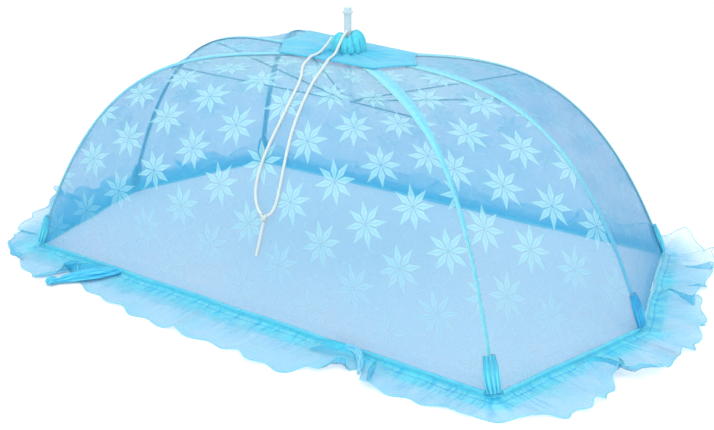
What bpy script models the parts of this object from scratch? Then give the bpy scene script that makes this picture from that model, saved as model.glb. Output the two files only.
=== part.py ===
"""Umbrella baby mosquito net, standing open over its folding rib frame.

Six sprung steel ribs curve down from a plastic hub to the corners of a long hexagon. Lace net
panels hang between them, woven tapes cover the seams, gathered pockets hold the rib ends, and a
loose skirt lies on the floor all round. Metres, +Z up, +X along the length, origin on the floor
under the hub, front side at -Y.
"""
from collections import namedtuple
from math import atan2, cos, hypot, pi, radians, sin, tan

import bmesh
import bpy
from mathutils import Vector

# ---- driving dimensions ----
TIP_X = 0.550            # rib end at each end of the length
CORNER_X = 0.466         # the four corner ribs
CORNER_Y = 0.309
HUB_RISE = 0.355         # height of the net's skin over the hub
CROWN = 0.05             # share of the plan radius that stays flat round the hub
BLEND = 0.60             # share over which a rib goes from the hub's height to its own rise

Rib = namedtuple("Rib", "name x y rise power")
RIBS = (
    Rib("front_right", CORNER_X, -CORNER_Y, 0.340, 4.4),
    Rib("right", TIP_X, 0.0, 0.348, 4.1),
    Rib("back_right", CORNER_X, CORNER_Y, 0.361, 3.7),
    Rib("back_left", -CORNER_X, CORNER_Y, 0.365, 4.3),
    Rib("left", -TIP_X, 0.0, 0.372, 4.3),
    Rib("front_left", -CORNER_X, -CORNER_Y, 0.358, 4.3),
)
SIDES = ("right_front", "right_back", "back", "left_back", "left_front", "front")
LONG_SIDES = ("back", "front")

NET_THICK = 0.0010
TAPE_THICK = 0.0012
TAPE_WIDTH = 0.012
GAP = 0.0003             # between pieces that touch
SEAM_HALF = 0.004        # a panel's edge stops this far from its rib
STATIONS = 17            # straight lengths along a rib
START_RADIUS = 0.030     # panels and tapes begin here, under the top cap
NET_BOTTOM = 0.0102      # lower edge of panels and tapes
SAG = {"long": 0.009, "short": 0.004}

RIB_R = 0.0015
STRUT_R = 0.0013
CLIP = (0.010, 0.006, 0.005)   # length, width, depth of a rib clip
CLIP_AT = 6.5                  # station on the rib
STRUT_CLEAR = 0.0009           # from a strut's end to its clip, at a slant
RIB_END = 0.88                 # share of its last length that a rib reaches, inside its pocket

BIND_IN, BIND_OUT = 0.005, 0.001   # base binding, from the foot line inward and outward
BIND_TALL = 0.009
BIND_LENGTHS = {"long": 14, "short": 6}    # straight lengths of binding on a side
WANDER = 0.0016          # of the sewn base line, in and out
CORNER_R = 0.009         # round of the foot line at a rib end
FOOT_CUTS = 6            # straight lengths in that round on a pocket
FOOT_WING = 0.0155       # a pocket's foot runs this far along each side
FOOT_TALL = 0.0080
POCKET_GAP = 0.0020      # from the skin to the pocket's inner face, over the tape
POCKET_LENGTH = 1.25     # in stations

SKIRT_THICK = 0.0014
SKIRT_GAP = 0.0004
SKIRT_STEP = 0.0205      # between stations along a side
SKIRT_ROWS = 4
CORNER_STEPS = 6

PATCH_THICK = 0.0010
PATCH_HOLE = 0.022
PATCH_LIFT = 0.0021      # from the skin to the patch, over the tapes
PATCH_REACH = {"right": 0.25, "left": 0.26}    # share of the rib; other ribs as below
PATCH_REACH_CORNER = 0.205

HUB_R, HUB_LOW, HUB_TOP = 0.017, 0.343, 0.3565
POST_R = 0.0062
RUNNER_R, RUNNER_LOW, RUNNER_TOP = 0.012, 0.266, 0.286
ROD_R, ROD_TOP = 0.0062, 0.434
COLLAR_R, COLLAR_Z = 0.0085, 0.426
CAP_R, CAP_LOW = 0.0275, 0.3590
CAP_HOLE = 0.0072
LOBE_TURN = radians(35.6)     # the cap's two lobes lie along this direction
CORD_R = 0.00225
CORD_STEP = 5.2               # cord radii between the points of a cord
FINE_STEPS = 400              # straight lengths that a rib's curve is measured in


def smooth(value):
    value = min(max(value, 0.0), 1.0)
    return value * value * (3.0 - 2.0 * value)


def mix(a, b, share):
    return a + (b - a) * share


def side_kind(i):
    return "long" if SIDES[i] in LONG_SIDES else "short"


def running_length(points):
    """Distance along a line of points, from its first point to each."""
    run = [0.0]
    for a, b in zip(points, points[1:]):
        run.append(run[-1] + (b - a).length)
    return run


def even_places(run, lengths):
    """Index and share of the piece that holds each end of a number of equal lengths."""
    places, at = [], 0
    for n in range(lengths + 1):
        want = run[-1] * n / lengths
        while at < len(run) - 2 and run[at + 1] < want:
            at += 1
        places.append((at, (want - run[at]) / (run[at + 1] - run[at])))
    return places


# ---- the skin that all cloth follows ----
def skin(rib, share):
    """A point on a rib's line of the skin; share is 0 at the hub and 1 on the floor."""
    rise = mix(HUB_RISE, rib.rise, smooth((share - CROWN) / BLEND))
    return Vector((share * rib.x, share * rib.y, rise * (1.0 - share ** rib.power)))


def station_shares(rib):
    """Shares that cut the rib into equal lengths, from START_RADIUS to NET_BOTTOM."""
    first = START_RADIUS / hypot(rib.x, rib.y)
    last = (1.0 - NET_BOTTOM / rib.rise) ** (1.0 / rib.power)
    shares = [mix(first, last, n / FINE_STEPS) for n in range(FINE_STEPS + 1)]
    run = running_length([skin(rib, share) for share in shares])
    return [mix(shares[at], shares[at + 1], part) for at, part in even_places(run, STATIONS)]


SHARES = [station_shares(rib) for rib in RIBS]
RIDGE = [[skin(rib, s) for s in shares] for rib, shares in zip(RIBS, SHARES)]

Frame = namedtuple("Frame", "point left right normal_left normal_right crest mitre slant_left slant_right")


def ridge_frame(i, k):
    """Directions at station k of rib i: along both panels, square to both, and between them."""
    point = RIDGE[i][k]
    ahead, behind = RIDGE[i][min(k + 1, STATIONS)], RIDGE[i][max(k - 1, 0)]
    along = (ahead - behind).normalized()
    left = (RIDGE[i - 1][k] - point).normalized()
    right = (RIDGE[(i + 1) % 6][k] - point).normalized()
    normal_left = left.cross(along).normalized()
    normal_right = along.cross(right).normalized()
    crest = (normal_left + normal_right).normalized()
    return Frame(point, left, right, normal_left, normal_right, crest, 1.0 / crest.dot(normal_left),
                 1.0 / left.cross(along).length, 1.0 / right.cross(along).length)


def skin_height(x, y):
    """Height of the unsagged skin over a point of the plan, near the hub."""
    for i, rib in enumerate(RIBS):
        other = RIBS[(i + 1) % 6]
        area = rib.x * other.y - rib.y * other.x
        a = (x * other.y - y * other.x) / area
        b = (rib.x * y - rib.y * x) / area
        if a >= -1e-9 and b >= -1e-9:
            share = a + b
            return mix(skin(rib, share).z, skin(other, share).z, b / share)
    return HUB_RISE


# ---- solids ----
def material(name, colour, roughness, metallic=0.0, alpha=1.0):
    made = bpy.data.materials.new(name)
    made.use_nodes = True
    shader = made.node_tree.nodes["Principled BSDF"]
    shader.inputs["Base Color"].default_value = (*colour, 1.0)
    shader.inputs["Roughness"].default_value = roughness
    shader.inputs["Metallic"].default_value = metallic
    shader.inputs["Alpha"].default_value = alpha
    made.diffuse_color = (*colour, alpha)
    return made


def add_object(name, data, finish):
    made = bpy.data.objects.new(name, data)
    data.materials.append(finish)
    bpy.context.scene.collection.objects.link(made)
    made.parent = bpy.data.objects["standing_net"]
    return made


def solid_between(name, outer, inner, finish, wraps=False, smooth_shading=True):
    """Closed solid between two grids of points, grid[row][column]; wraps closes the columns."""
    mesh = bmesh.new()
    rows, columns = len(outer), len(outer[0])
    top = [[mesh.verts.new(p) for p in row] for row in outer]
    low = [[mesh.verts.new(p) for p in row] for row in inner]
    steps = columns if wraps else columns - 1
    for r in range(rows - 1):
        for c in range(steps):
            d = (c + 1) % columns
            mesh.faces.new((top[r][c], top[r][d], top[r + 1][d], top[r + 1][c]))
            mesh.faces.new((low[r][c], low[r + 1][c], low[r + 1][d], low[r][d]))
    for r in (0, rows - 1):
        for c in range(steps):
            d = (c + 1) % columns
            mesh.faces.new((top[r][c], low[r][c], low[r][d], top[r][d]))
    if not wraps:
        for c in (0, columns - 1):
            for r in range(rows - 1):
                mesh.faces.new((top[r][c], top[r + 1][c], low[r + 1][c], low[r][c]))
    bmesh.ops.recalc_face_normals(mesh, faces=mesh.faces)
    data = bpy.data.meshes.new(name)
    mesh.to_mesh(data)
    mesh.free()
    if smooth_shading:
        data.shade_smooth()
        data.set_sharp_from_angle(angle=radians(40))
    return add_object(name, data, finish)


def turned(name, profile, finish, sides=20):
    """Solid turned about the Z axis from (radius, height) points that start and end on the axis."""
    mesh = bmesh.new()
    points = [mesh.verts.new((radius, 0.0, height)) for radius, height in profile]
    edges = [mesh.edges.new(pair) for pair in zip(points, points[1:])]
    bmesh.ops.spin(mesh, geom=points + edges, axis=(0, 0, 1), cent=(0, 0, 0),
                   angle=2 * pi, steps=sides, use_merge=True)
    bmesh.ops.remove_doubles(mesh, verts=mesh.verts, dist=1e-6)
    bmesh.ops.recalc_face_normals(mesh, faces=mesh.faces)
    data = bpy.data.meshes.new(name)
    mesh.to_mesh(data)
    mesh.free()
    data.shade_smooth()
    data.set_sharp_from_angle(angle=radians(35))
    return add_object(name, data, finish)


def tube(name, points, radius, finish, round_steps=2):
    """Round bar along a line of points, with closed ends."""
    curve = bpy.data.curves.new(name, "CURVE")
    curve.dimensions = "3D"
    curve.bevel_depth = radius
    curve.bevel_resolution = round_steps
    curve.use_fill_caps = True
    line = curve.splines.new("POLY")
    line.points.add(len(points) - 1)
    for target, point in zip(line.points, points):
        target.co = (*point, 1.0)
    return add_object(name, curve, finish)


def smooth_line(points, step):
    """Points of a smooth curve through the given ones, evenly spaced about a step apart."""
    ends = [points[0] * 2 - points[1], *points, points[-1] * 2 - points[-2]]
    cuts = 24
    fine = []
    for p0, p1, p2, p3 in zip(ends, ends[1:], ends[2:], ends[3:]):
        for t in (n / cuts for n in range(cuts)):
            fine.append(0.5 * (2 * p1 + (p2 - p0) * t + (2 * p0 - 5 * p1 + 4 * p2 - p3) * t * t
                               + (3 * p1 - p0 - 3 * p2 + p3) * t * t * t))
    fine.append(points[-1])
    run = running_length(fine)
    return [fine[at].lerp(fine[at + 1], part) for at, part in even_places(run, round(run[-1] / step))]


# ---- net panels ----
def panel(side, i, finish):
    """One gore from rib i to the next, ruled between them, with a slight inward sag."""
    j = (i + 1) % 6
    kind = side_kind(i)
    cells = {"long": 12, "short": 7}[kind]
    rib, other = RIBS[i], RIBS[j]
    outer = []
    for k in range(STATIONS + 1):
        near, far = ridge_frame(i, k), ridge_frame(j, k)
        chord = (far.point - near.point).length
        first, last = SEAM_HALF * near.slant_right / chord, 1 - SEAM_HALF * far.slant_left / chord
        down = k / STATIONS
        row = []
        for c in range(cells + 1):
            t = mix(first, last, c / cells)
            plan = Vector((mix(rib.x, other.x, t), mix(rib.y, other.y, t))).length
            near_start, far_start = SHARES[i][0], SHARES[j][0]
            extra = (START_RADIUS / plan - mix(near_start, far_start, t)) * (1 - down) ** 3
            point = mix(skin(rib, SHARES[i][k] + extra), skin(other, SHARES[j][k] + extra), t)
            square = mix(near.normal_right, far.normal_left, t).normalized()
            belly = SAG[kind] * sin(pi * t) * sin(pi * down) * (1 + 0.25 * sin(2 * pi * t + 2 * i))
            row.append(point - square * belly)
        outer.append(row)
    inner = [[p - n * NET_THICK for p, n in zip(row, normals)]
             for row, normals in zip(outer, grid_normals(outer))]
    return solid_between("net_" + side, outer, inner, finish)


def grid_normals(grid):
    """Outward unit normals of a grid whose rows run down and whose columns run anticlockwise."""
    rows, columns = len(grid), len(grid[0])
    normals = []
    for r in range(rows):
        line = []
        for c in range(columns):
            down = grid[min(r + 1, rows - 1)][c] - grid[max(r - 1, 0)][c]
            across = grid[r][min(c + 1, columns - 1)] - grid[r][max(c - 1, 0)]
            line.append(down.cross(across).normalized())
        normals.append(line)
    return normals


# ---- the sides' lines on the floor ----
SideLine = namedtuple("SideLine", "start way out length")


def side_line(i):
    """Foot of the side from rib i to the next: its start, its direction, the way out, its length."""
    start = Vector((RIBS[i].x, RIBS[i].y, 0))
    span = Vector((RIBS[(i + 1) % 6].x, RIBS[(i + 1) % 6].y, 0)) - start
    way = span.normalized()
    return SideLine(start, way, Vector((way.y, -way.x, 0)), span.length)


SIDE_LINES = [side_line(i) for i in range(6)]


def corner(i):
    """The way out at rib i's end, and how far along each side its rounding starts."""
    before, after = SIDE_LINES[i - 1].out, SIDE_LINES[i].out
    return (before + after).normalized(), CORNER_R * tan(before.angle(after) / 2)


def foot_line(i, t):
    """A place along side i's foot, and how far sewn cloth wanders outward there."""
    line = SIDE_LINES[i]
    lengths = BIND_LENGTHS[side_kind(i)]
    knot = min(int(t * lengths), lengths - 1)
    ends = [0.0 if n < 2 or n > lengths - 2 else WANDER * sin(2.2 * n + i) for n in (knot, knot + 1)]
    return line.start + line.way * line.length * t, mix(*ends, t * lengths - knot)


# ---- rib tapes and the gathered end pockets ----
def tape(i, finish):
    outer, inner = [], []
    for k in range(STATIONS + 1):
        f = ridge_frame(i, k)
        half = TAPE_WIDTH / 2
        edges = ((f.left * half * f.slant_left, f.normal_left, 1.0),
                 (Vector(), f.crest, f.mitre),
                 (f.right * half * f.slant_right, f.normal_right, 1.0))
        inner.append([f.point + aside + square * GAP * reach for aside, square, reach in edges])
        outer.append([f.point + aside + square * (GAP + TAPE_THICK) * reach
                      for aside, square, reach in edges])
    return solid_between("tape_" + RIBS[i].name, outer, inner, finish)


POCKET_ASIDE = (-0.011, -0.007, -0.004, -0.002, 0.0, 0.002, 0.004, 0.007, 0.011)
POCKET_BULK = (0.0014, 0.0034, 0.0042, 0.0058, 0.0050, 0.0060, 0.0044, 0.0036, 0.0014)


def pocket_section(i, k, swell):
    """Inner and outer points of the gathered sleeve at station k of rib i."""
    f = ridge_frame(i, k)
    inner, outer = [], []
    for aside, bulk in zip(POCKET_ASIDE, POCKET_BULK):
        way = f.left if aside < 0 else f.right
        square = f.normal_left if aside < 0 else f.normal_right
        bend = max(0.0, 1 - abs(aside) / 0.006)
        facing = mix(square, f.crest, bend).normalized()
        lift = POCKET_GAP * (f.mitre if aside == 0 else 1.0)
        base = f.point + way * abs(aside) + (f.crest if aside == 0 else square) * lift
        inner.append(base)
        outer.append(base + facing * bulk * swell)
    return inner, outer


def foot_section(i, height):
    """Plan of a pocket's foot round a rib end: two straight wings and a rounded corner."""
    before, after = SIDE_LINES[i - 1], SIDE_LINES[i]
    here = after.start + Vector((0, 0, height))
    middle, setback = corner(i)
    centre = here - middle * hypot(CORNER_R, setback)
    ways = [before.out.slerp(after.out, n / FOOT_CUTS) for n in range(FOOT_CUTS + 1)]
    edges = []
    for reach in (-BIND_IN, BIND_OUT):
        edges.append([here - before.way * FOOT_WING + before.out * reach,
                      *(centre + way * (CORNER_R + reach) for way in ways),
                      here + after.way * FOOT_WING + after.out * reach])
    return edges


def pocket(i, finish):
    swells = ((0.0, 0.75), (0.5, 1.1), (1.0, 1.05), (POCKET_LENGTH, 0.85))   # stations up, fullness
    sections = [foot_section(i, 0.0), foot_section(i, FOOT_TALL)]
    for up, swell in swells:
        low = int(STATIONS - up)
        share = STATIONS - up - low
        a, b = pocket_section(i, low, swell), pocket_section(i, min(low + 1, STATIONS), swell)
        sections.append(tuple([mix(p, q, share) for p, q in zip(pa, pb)] for pa, pb in zip(a, b)))
    inner = [section[0] for section in sections]
    outer = [section[1] for section in sections]
    return solid_between("pocket_" + RIBS[i].name, outer, inner, finish)


# ---- steel frame ----
def rib_line(i):
    """Centre line of a rib, just under its tape, from the hub's side to inside its pocket."""
    line = []
    for k in range(STATIONS + 1):
        f = ridge_frame(i, k)
        line.append(f.point - f.crest * RIB_R * f.mitre)
    line[-1] = mix(line[-2], line[-1], RIB_END)
    outward = Vector((RIBS[i].x, RIBS[i].y, 0)).normalized()
    start = outward * (HUB_R + GAP)
    start.z = line[0].z
    return [start, *line]


def clip_place(i):
    """Middle of a rib clip, with its directions: along the rib, aside, and up to the rib."""
    line = rib_line(i)[1:]
    k = int(CLIP_AT)
    middle = mix(line[k], line[k + 1], CLIP_AT - k)
    along = (line[k + 1] - line[k]).normalized()
    crest = mix(ridge_frame(i, k).crest, ridge_frame(i, k + 1).crest, CLIP_AT - k)
    aside = along.cross(crest).normalized()
    up = aside.cross(along).normalized()
    return middle - up * (RIB_R + GAP + CLIP[2] / 2), along, aside, up


def rib_clip(i, finish):
    middle, along, aside, up = clip_place(i)
    half = [size / 2 for size in CLIP]

    def corners(height):
        return [[middle + along * a * half[0] + aside * b * half[1] * narrow + up * height
                 for b in (-1, 1)] for a, narrow in ((-1, 0.7), (-0.4, 1.0), (0.4, 1.0), (1, 0.7))]
    return solid_between("clip_" + RIBS[i].name, corners(half[2]), corners(-half[2]), finish,
                         smooth_shading=False)


def strut(i, finish):
    middle, along, aside, up = clip_place(i)
    end = middle - along * (CLIP[0] / 2)
    outward = Vector((RIBS[i].x, RIBS[i].y, 0)).normalized()
    start = outward * (RUNNER_R + GAP * 2)
    start.z = mix(RUNNER_LOW, RUNNER_TOP, 0.55)
    way = (end - start).normalized()
    return tube("strut_" + RIBS[i].name, [start, end - way * STRUT_CLEAR], STRUT_R, finish, 1)


# ---- base binding and skirt ----
def binding(side, i, finish):
    clear = (FOOT_WING + GAP) / SIDE_LINES[i].length
    lengths = BIND_LENGTHS[side_kind(i)]
    tall = Vector((0, 0, BIND_TALL))
    top, low = [], []
    for t in (clear, *(n / lengths for n in range(1, lengths)), 1 - clear):
        point, wander = foot_line(i, t)
        low.append([point + SIDE_LINES[i].out * (wander + reach) for reach in (BIND_OUT, -BIND_IN)])
        top.append([spot + tall for spot in low[-1]])
    return solid_between("binding_" + side, top, low, finish, smooth_shading=False)


# Places along the skirt: side, share of the side, width, height of its ruffles, waves a metre.
Place = namedtuple("Place", "side share width lift waves")
SKIRT = (
    Place("front", 0.00, 0.064, 0.006, 9), Place("front", 0.07, 0.082, 0.005, 9),
    Place("front", 0.13, 0.099, 0.006, 8), Place("front", 0.20, 0.070, 0.004, 8),
    Place("front", 0.28, 0.084, 0.003, 7), Place("front", 0.40, 0.099, 0.003, 7),
    Place("front", 0.57, 0.099, 0.004, 7), Place("front", 0.67, 0.107, 0.005, 8),
    Place("front", 0.73, 0.078, 0.006, 9), Place("front", 0.775, 0.040, 0.004, 9),
    Place("front", 0.81, 0.074, 0.003, 9), Place("front", 0.90, 0.066, 0.003, 9),
    Place("right_front", 0.00, 0.058, 0.004, 10), Place("right_front", 0.14, 0.086, 0.005, 11),
    Place("right_front", 0.26, 0.092, 0.006, 12), Place("right_front", 0.40, 0.086, 0.008, 12),
    Place("right_front", 0.55, 0.062, 0.010, 13), Place("right_front", 0.64, 0.098, 0.009, 13),
    Place("right_front", 0.82, 0.084, 0.010, 13), Place("right_back", 0.00, 0.080, 0.011, 13),
    Place("right_back", 0.22, 0.082, 0.013, 13), Place("right_back", 0.42, 0.060, 0.014, 13),
    Place("right_back", 0.72, 0.080, 0.017, 12), Place("back", 0.00, 0.082, 0.018, 12),
    Place("back", 0.12, 0.098, 0.012, 11), Place("back", 0.30, 0.086, 0.009, 10),
    Place("back", 0.48, 0.098, 0.009, 10), Place("back", 0.66, 0.104, 0.010, 10),
    Place("back", 0.84, 0.090, 0.011, 11), Place("left_back", 0.00, 0.074, 0.013, 12),
    Place("left_back", 0.35, 0.084, 0.013, 12), Place("left_back", 0.70, 0.074, 0.012, 12),
    Place("left_front", 0.00, 0.078, 0.012, 12), Place("left_front", 0.40, 0.090, 0.012, 12),
    Place("left_front", 0.75, 0.082, 0.009, 11),
)

# Raised pleats: place, how far the crest drifts along the side on its way out, height, half width.
Pleat = namedtuple("Pleat", "side share drift height spread")
PLEATS = (
    Pleat("front", 0.225, -0.085, 0.017, 0.016), Pleat("front", 0.735, 0.030, 0.016, 0.022),
    Pleat("front", 0.800, 0.012, 0.012, 0.014), Pleat("right_front", 0.52, 0.030, 0.014, 0.016),
    Pleat("right_back", 0.45, -0.030, 0.016, 0.016),
)


ROUND = sum(line.length for line in SIDE_LINES)


def side_run(side, share):
    """Metres round the foot line from the front left rib."""
    i = SIDES.index(side)
    before = [SIDE_LINES[n].length for n in range(-1, i)] if side != "front" else []
    return sum(before) + share * SIDE_LINES[i].length


def skirt_at(run):
    """Width, ruffle height and waves a metre at a point of the foot line."""
    knots = [(side_run(p.side, p.share), p) for p in SKIRT]
    knots.append((knots[0][0] + ROUND, SKIRT[0]))
    run %= ROUND
    for (a, before), (b, after) in zip(knots, knots[1:]):
        if a <= run <= b:
            t = smooth((run - a) / (b - a))
            return tuple(mix(before[n], after[n], t) for n in (2, 3, 4))
    return tuple(SKIRT[0][2:])


def skirt_stations():
    """Points of the skirt's inner edge, the way out there, and metres round the foot line."""
    stations = []
    reach = BIND_OUT + SKIRT_GAP
    for side in ("front", *SIDES[:5]):
        i = SIDES.index(side)
        line, after = SIDE_LINES[i], SIDE_LINES[(i + 1) % 6]
        clears = [corner(n % 6)[1] / line.length for n in (i, i + 1)]
        count = round(line.length / SKIRT_STEP)
        for n in range(count + 1):
            t = mix(clears[0], 1 - clears[1], n / count)
            point, wander = foot_line(i, t)
            stations.append((point + line.out * (reach + wander), line.out, side_run(side, t)))
        middle, setback = corner((i + 1) % 6)
        centre = after.start - middle * hypot(CORNER_R, setback)
        for n in range(1, CORNER_STEPS):
            out = line.out.slerp(after.out, n / CORNER_STEPS)
            along = side_run(side, 1) + setback * mix(-0.9, 0.9, n / CORNER_STEPS)
            stations.append((centre + out * (CORNER_R + reach), out, along))
    return stations


def skirt(finish):
    stations = skirt_stations()
    phase, phases, reach = 0.0, [], []
    for n, (point, out, run) in enumerate(stations):
        width, lift, waves = skirt_at(run)
        before = reach[-1] if reach else point + out * width
        reach.append(point + out * width)
        phase += (reach[-1] - before).length * waves * 2 * pi
        phases.append(phase)
    spare = phases[-1] % (2 * pi)
    low = [[] for _ in range(SKIRT_ROWS + 1)]
    for n, (point, out, run) in enumerate(stations):
        width, lift, waves = skirt_at(run)
        turn = phases[n] - spare * n / (len(stations) - 1)
        for r in range(SKIRT_ROWS + 1):
            w = r / SKIRT_ROWS
            height = lift * w ** 1.15 * (0.62 + 0.7 * sin(turn - 0.9 * w) + 0.25 * sin(0.43 * turn + 2))
            for pleat in PLEATS:
                gap = run - side_run(pleat.side, pleat.share) - pleat.drift * w
                gap = (gap + ROUND / 2) % ROUND - ROUND / 2
                height += pleat.height * smooth(w * 2.2) / (1 + (gap / pleat.spread) ** 4)
            edge = 1 + 0.05 * sin(2.3 * turn) * w
            spot = point + out * width * w * edge
            spot.z = max(0.0, height - 0.0015)
            low[r].append(spot)
    top = [[p + Vector((0, 0, SKIRT_THICK)) for p in row] for row in low]
    return solid_between("skirt", top, low, finish, wraps=True)


# ---- top patch and gathered cap ----
def patch(finish):
    corners = []
    for rib in RIBS:
        share = PATCH_REACH.get(rib.name, PATCH_REACH_CORNER)
        corners.append(Vector((rib.x * share, rib.y * share)))
    ways, rims = [], []
    for i, side in enumerate(SIDES):
        a, b = corners[i], corners[(i + 1) % 6]
        cells = 6 if side in LONG_SIDES else 3
        for n in range(cells):
            rims.append(a.lerp(b, n / cells))
            turn = atan2(a.y, a.x), atan2(b.y, b.x)
            swing = (turn[1] - turn[0]) % (2 * pi)
            angle = turn[0] + swing * n / cells
            ways.append(Vector((cos(angle), sin(angle))))
    low, top = [], []
    rows = 4
    for r in range(rows + 1):
        line = [(way * PATCH_HOLE).lerp(rim, r / rows) for way, rim in zip(ways, rims)]
        low.append([Vector((p.x, p.y, skin_height(p.x, p.y) + PATCH_LIFT)) for p in line])
        top.append([p + Vector((0, 0, PATCH_THICK)) for p in low[-1]])
    return solid_between("top_patch", top, low, finish, wraps=True)


def cap(finish):
    """Gathered cloth round the rod: two soft lobes with pleats and a dip between them."""
    around = 28
    right_top, left_top, dip_top = 0.3965, 0.3915, 0.3850
    # Radius as a share of CAP_R, height as a share of the crest, depth of the pleats.
    rings = ((0.93, 0.0, 0.6), (1.02, 0.22, 1.0), (1.00, 0.45, 1.0), (0.90, 0.72, 0.9),
             (0.66, 0.95, 0.6), (0.42, 1.0, 0.3))
    outer = []
    for share, rise, depth in rings:
        line = []
        for n in range(around):
            angle = 2 * pi * n / around
            facing = cos(angle - LOBE_TURN)
            crest = dip_top + (right_top - dip_top) * max(0, facing) ** 0.7
            crest += (left_top - dip_top) * max(0, -facing) ** 0.7
            pleat = 0.0012 * depth * sin(7 * angle + 3 * rise) + 0.0007 * depth * sin(12 * angle)
            radius = CAP_R * share * (1 + 0.04 * facing) + pleat
            line.append(Vector((radius * cos(angle), radius * sin(angle), mix(CAP_LOW, crest, rise))))
        outer.append(line)
    hole = [Vector((CAP_HOLE * cos(2 * pi * n / around), CAP_HOLE * sin(2 * pi * n / around), 0))
            for n in range(around)]
    inner = []
    for r, line in enumerate(outer):
        height = mix(CAP_LOW, min(p.z for p in outer[-1]) - 0.002, r / (len(outer) - 1))
        inner.append([spot + Vector((0, 0, height)) for spot in hole])
    return solid_between("top_cap", outer, inner, finish, wraps=True)


# ---- pull cord: each route's points lie on the cloth, a cord's radius above it ----
LEFT_ROUTE = (
    (-0.0215, -0.0150, 0.3835), (-0.0243, -0.0280, 0.3715), (-0.0254, -0.0410, 0.3640),
    (-0.0260, -0.0540, 0.3609), (-0.0261, -0.0655, 0.3602), (-0.0260, -0.0750, 0.3562),
    (-0.0245, -0.0870, 0.3511), (-0.0157, -0.1033, 0.3468), (-0.0037, -0.1211, 0.3408),
    (0.0056, -0.1403, 0.3326), (0.0116, -0.1603, 0.3210), (0.0146, -0.1808, 0.3045),
    (0.0147, -0.1982, 0.2859), (0.0118, -0.2145, 0.2635), (0.0079, -0.2296, 0.2379),
    (0.0059, -0.2424, 0.2121), (0.0080, -0.2530, 0.1884), (0.0149, -0.2600, 0.1709),
    (0.0240, -0.2645, 0.1610), (0.0310, -0.2665, 0.1571),
)
RIGHT_ROUTE = (
    (0.0044, -0.0078, 0.3965), (0.0052, -0.0200, 0.3890), (0.0046, -0.0300, 0.3770),
    (0.0042, -0.0390, 0.3660), (0.0050, -0.0490, 0.3612), (0.0078, -0.0600, 0.3604),
    (0.0100, -0.0690, 0.3582), (0.0127, -0.0803, 0.3528), (0.0185, -0.1021, 0.3456),
    (0.0245, -0.1228, 0.3390), (0.0306, -0.1432, 0.3301), (0.0367, -0.1665, 0.3159),
    (0.0408, -0.1873, 0.2977), (0.0439, -0.2057, 0.2760), (0.0469, -0.2217, 0.2514),
    (0.0499, -0.2356, 0.2253), (0.0519, -0.2481, 0.1981), (0.0510, -0.2579, 0.1742),
    (0.0470, -0.2637, 0.1625), (0.0415, -0.2663, 0.1578),
)
TAIL_ROUTE = (
    (0.0361, -0.2692, 0.1474), (0.0356, -0.2725, 0.1380), (0.0349, -0.2777, 0.1207),
    (0.0340, -0.2820, 0.1071), (0.0330, -0.2853, 0.0960),
)
KNOT_AT = Vector((0.0365, -0.2696, 0.1543))
KNOT_R = 0.0058


def cords(finish):
    for name, route in (("cord_left", LEFT_ROUTE), ("cord_right", RIGHT_ROUTE), ("cord_tail", TAIL_ROUTE)):
        tube(name, smooth_line([Vector(p) for p in route], CORD_R * CORD_STEP), CORD_R, finish)
    knot = bmesh.new()
    bmesh.ops.create_uvsphere(knot, u_segments=10, v_segments=8, radius=KNOT_R)
    for vert in knot.verts:
        turn = atan2(vert.co.y, vert.co.x)
        vert.co *= 1 + 0.10 * sin(2 * turn + vert.co.z * 500)
    data = bpy.data.meshes.new("cord_knot")
    knot.to_mesh(data)
    knot.free()
    data.shade_smooth()
    add_object("cord_knot", data, finish).location = KNOT_AT


# ---- the whole object ----
for old in list(bpy.data.objects):
    bpy.data.objects.remove(old)
bpy.context.scene.collection.objects.link(bpy.data.objects.new("standing_net", None))

net = material("net", (0.42, 0.74, 0.95), 0.75, alpha=0.6)
trim = material("trim", (0.20, 0.72, 0.90), 0.70)
steel = material("steel", (0.55, 0.57, 0.60), 0.30, metallic=1.0)
plastic = material("plastic", (0.93, 0.94, 0.95), 0.35)
cotton = material("cord", (0.94, 0.95, 0.93), 0.80)

for index, side_name in enumerate(SIDES):
    panel(side_name, index, net)
    binding(side_name, index, trim)
for index in range(6):
    tape(index, trim)
    pocket(index, trim)
    tube("rib_" + RIBS[index].name, rib_line(index), RIB_R, steel, 1)
    rib_clip(index, plastic)
    strut(index, steel)
skirt(net)
patch(trim)
cap(trim)

turned("hub", ((0, HUB_LOW), (HUB_R * 0.8, HUB_LOW), (HUB_R, HUB_LOW + 0.004),
               (HUB_R, HUB_TOP - 0.001), (HUB_R - 0.001, HUB_TOP), (0, HUB_TOP)), plastic, 24)
turned("centre_post", ((0, RUNNER_TOP + GAP), (POST_R, RUNNER_TOP + GAP), (POST_R, HUB_LOW - GAP),
                       (0, HUB_LOW - GAP)), plastic)
turned("runner", ((0, RUNNER_LOW), (RUNNER_R * 0.7, RUNNER_LOW), (RUNNER_R, RUNNER_LOW + 0.003),
                  (RUNNER_R, RUNNER_TOP - 0.003), (RUNNER_R * 0.8, RUNNER_TOP), (0, RUNNER_TOP)), plastic)
turned("top_rod", ((0, HUB_TOP + GAP), (ROD_R, HUB_TOP + GAP), (ROD_R, COLLAR_Z - 0.003),
                   (COLLAR_R, COLLAR_Z - 0.002), (COLLAR_R, COLLAR_Z + 0.001), (ROD_R, COLLAR_Z + 0.002),
                   (ROD_R, ROD_TOP - 0.001), (ROD_R - 0.001, ROD_TOP), (0, ROD_TOP)), plastic)
cords(cotton)
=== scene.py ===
"""Umbrella baby mosquito net, standing open on its sprung steel frame: the finished look.

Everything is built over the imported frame, in metres, +Z up, with the front side at -Y. The sections
follow the order in which the real net goes together, after the camera and the pull cord.
"""
from bisect import bisect_left
from collections import namedtuple
from math import atan2, cos, exp, hypot, pi, radians, sin, tan

import bpy
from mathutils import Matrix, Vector, noise


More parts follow.
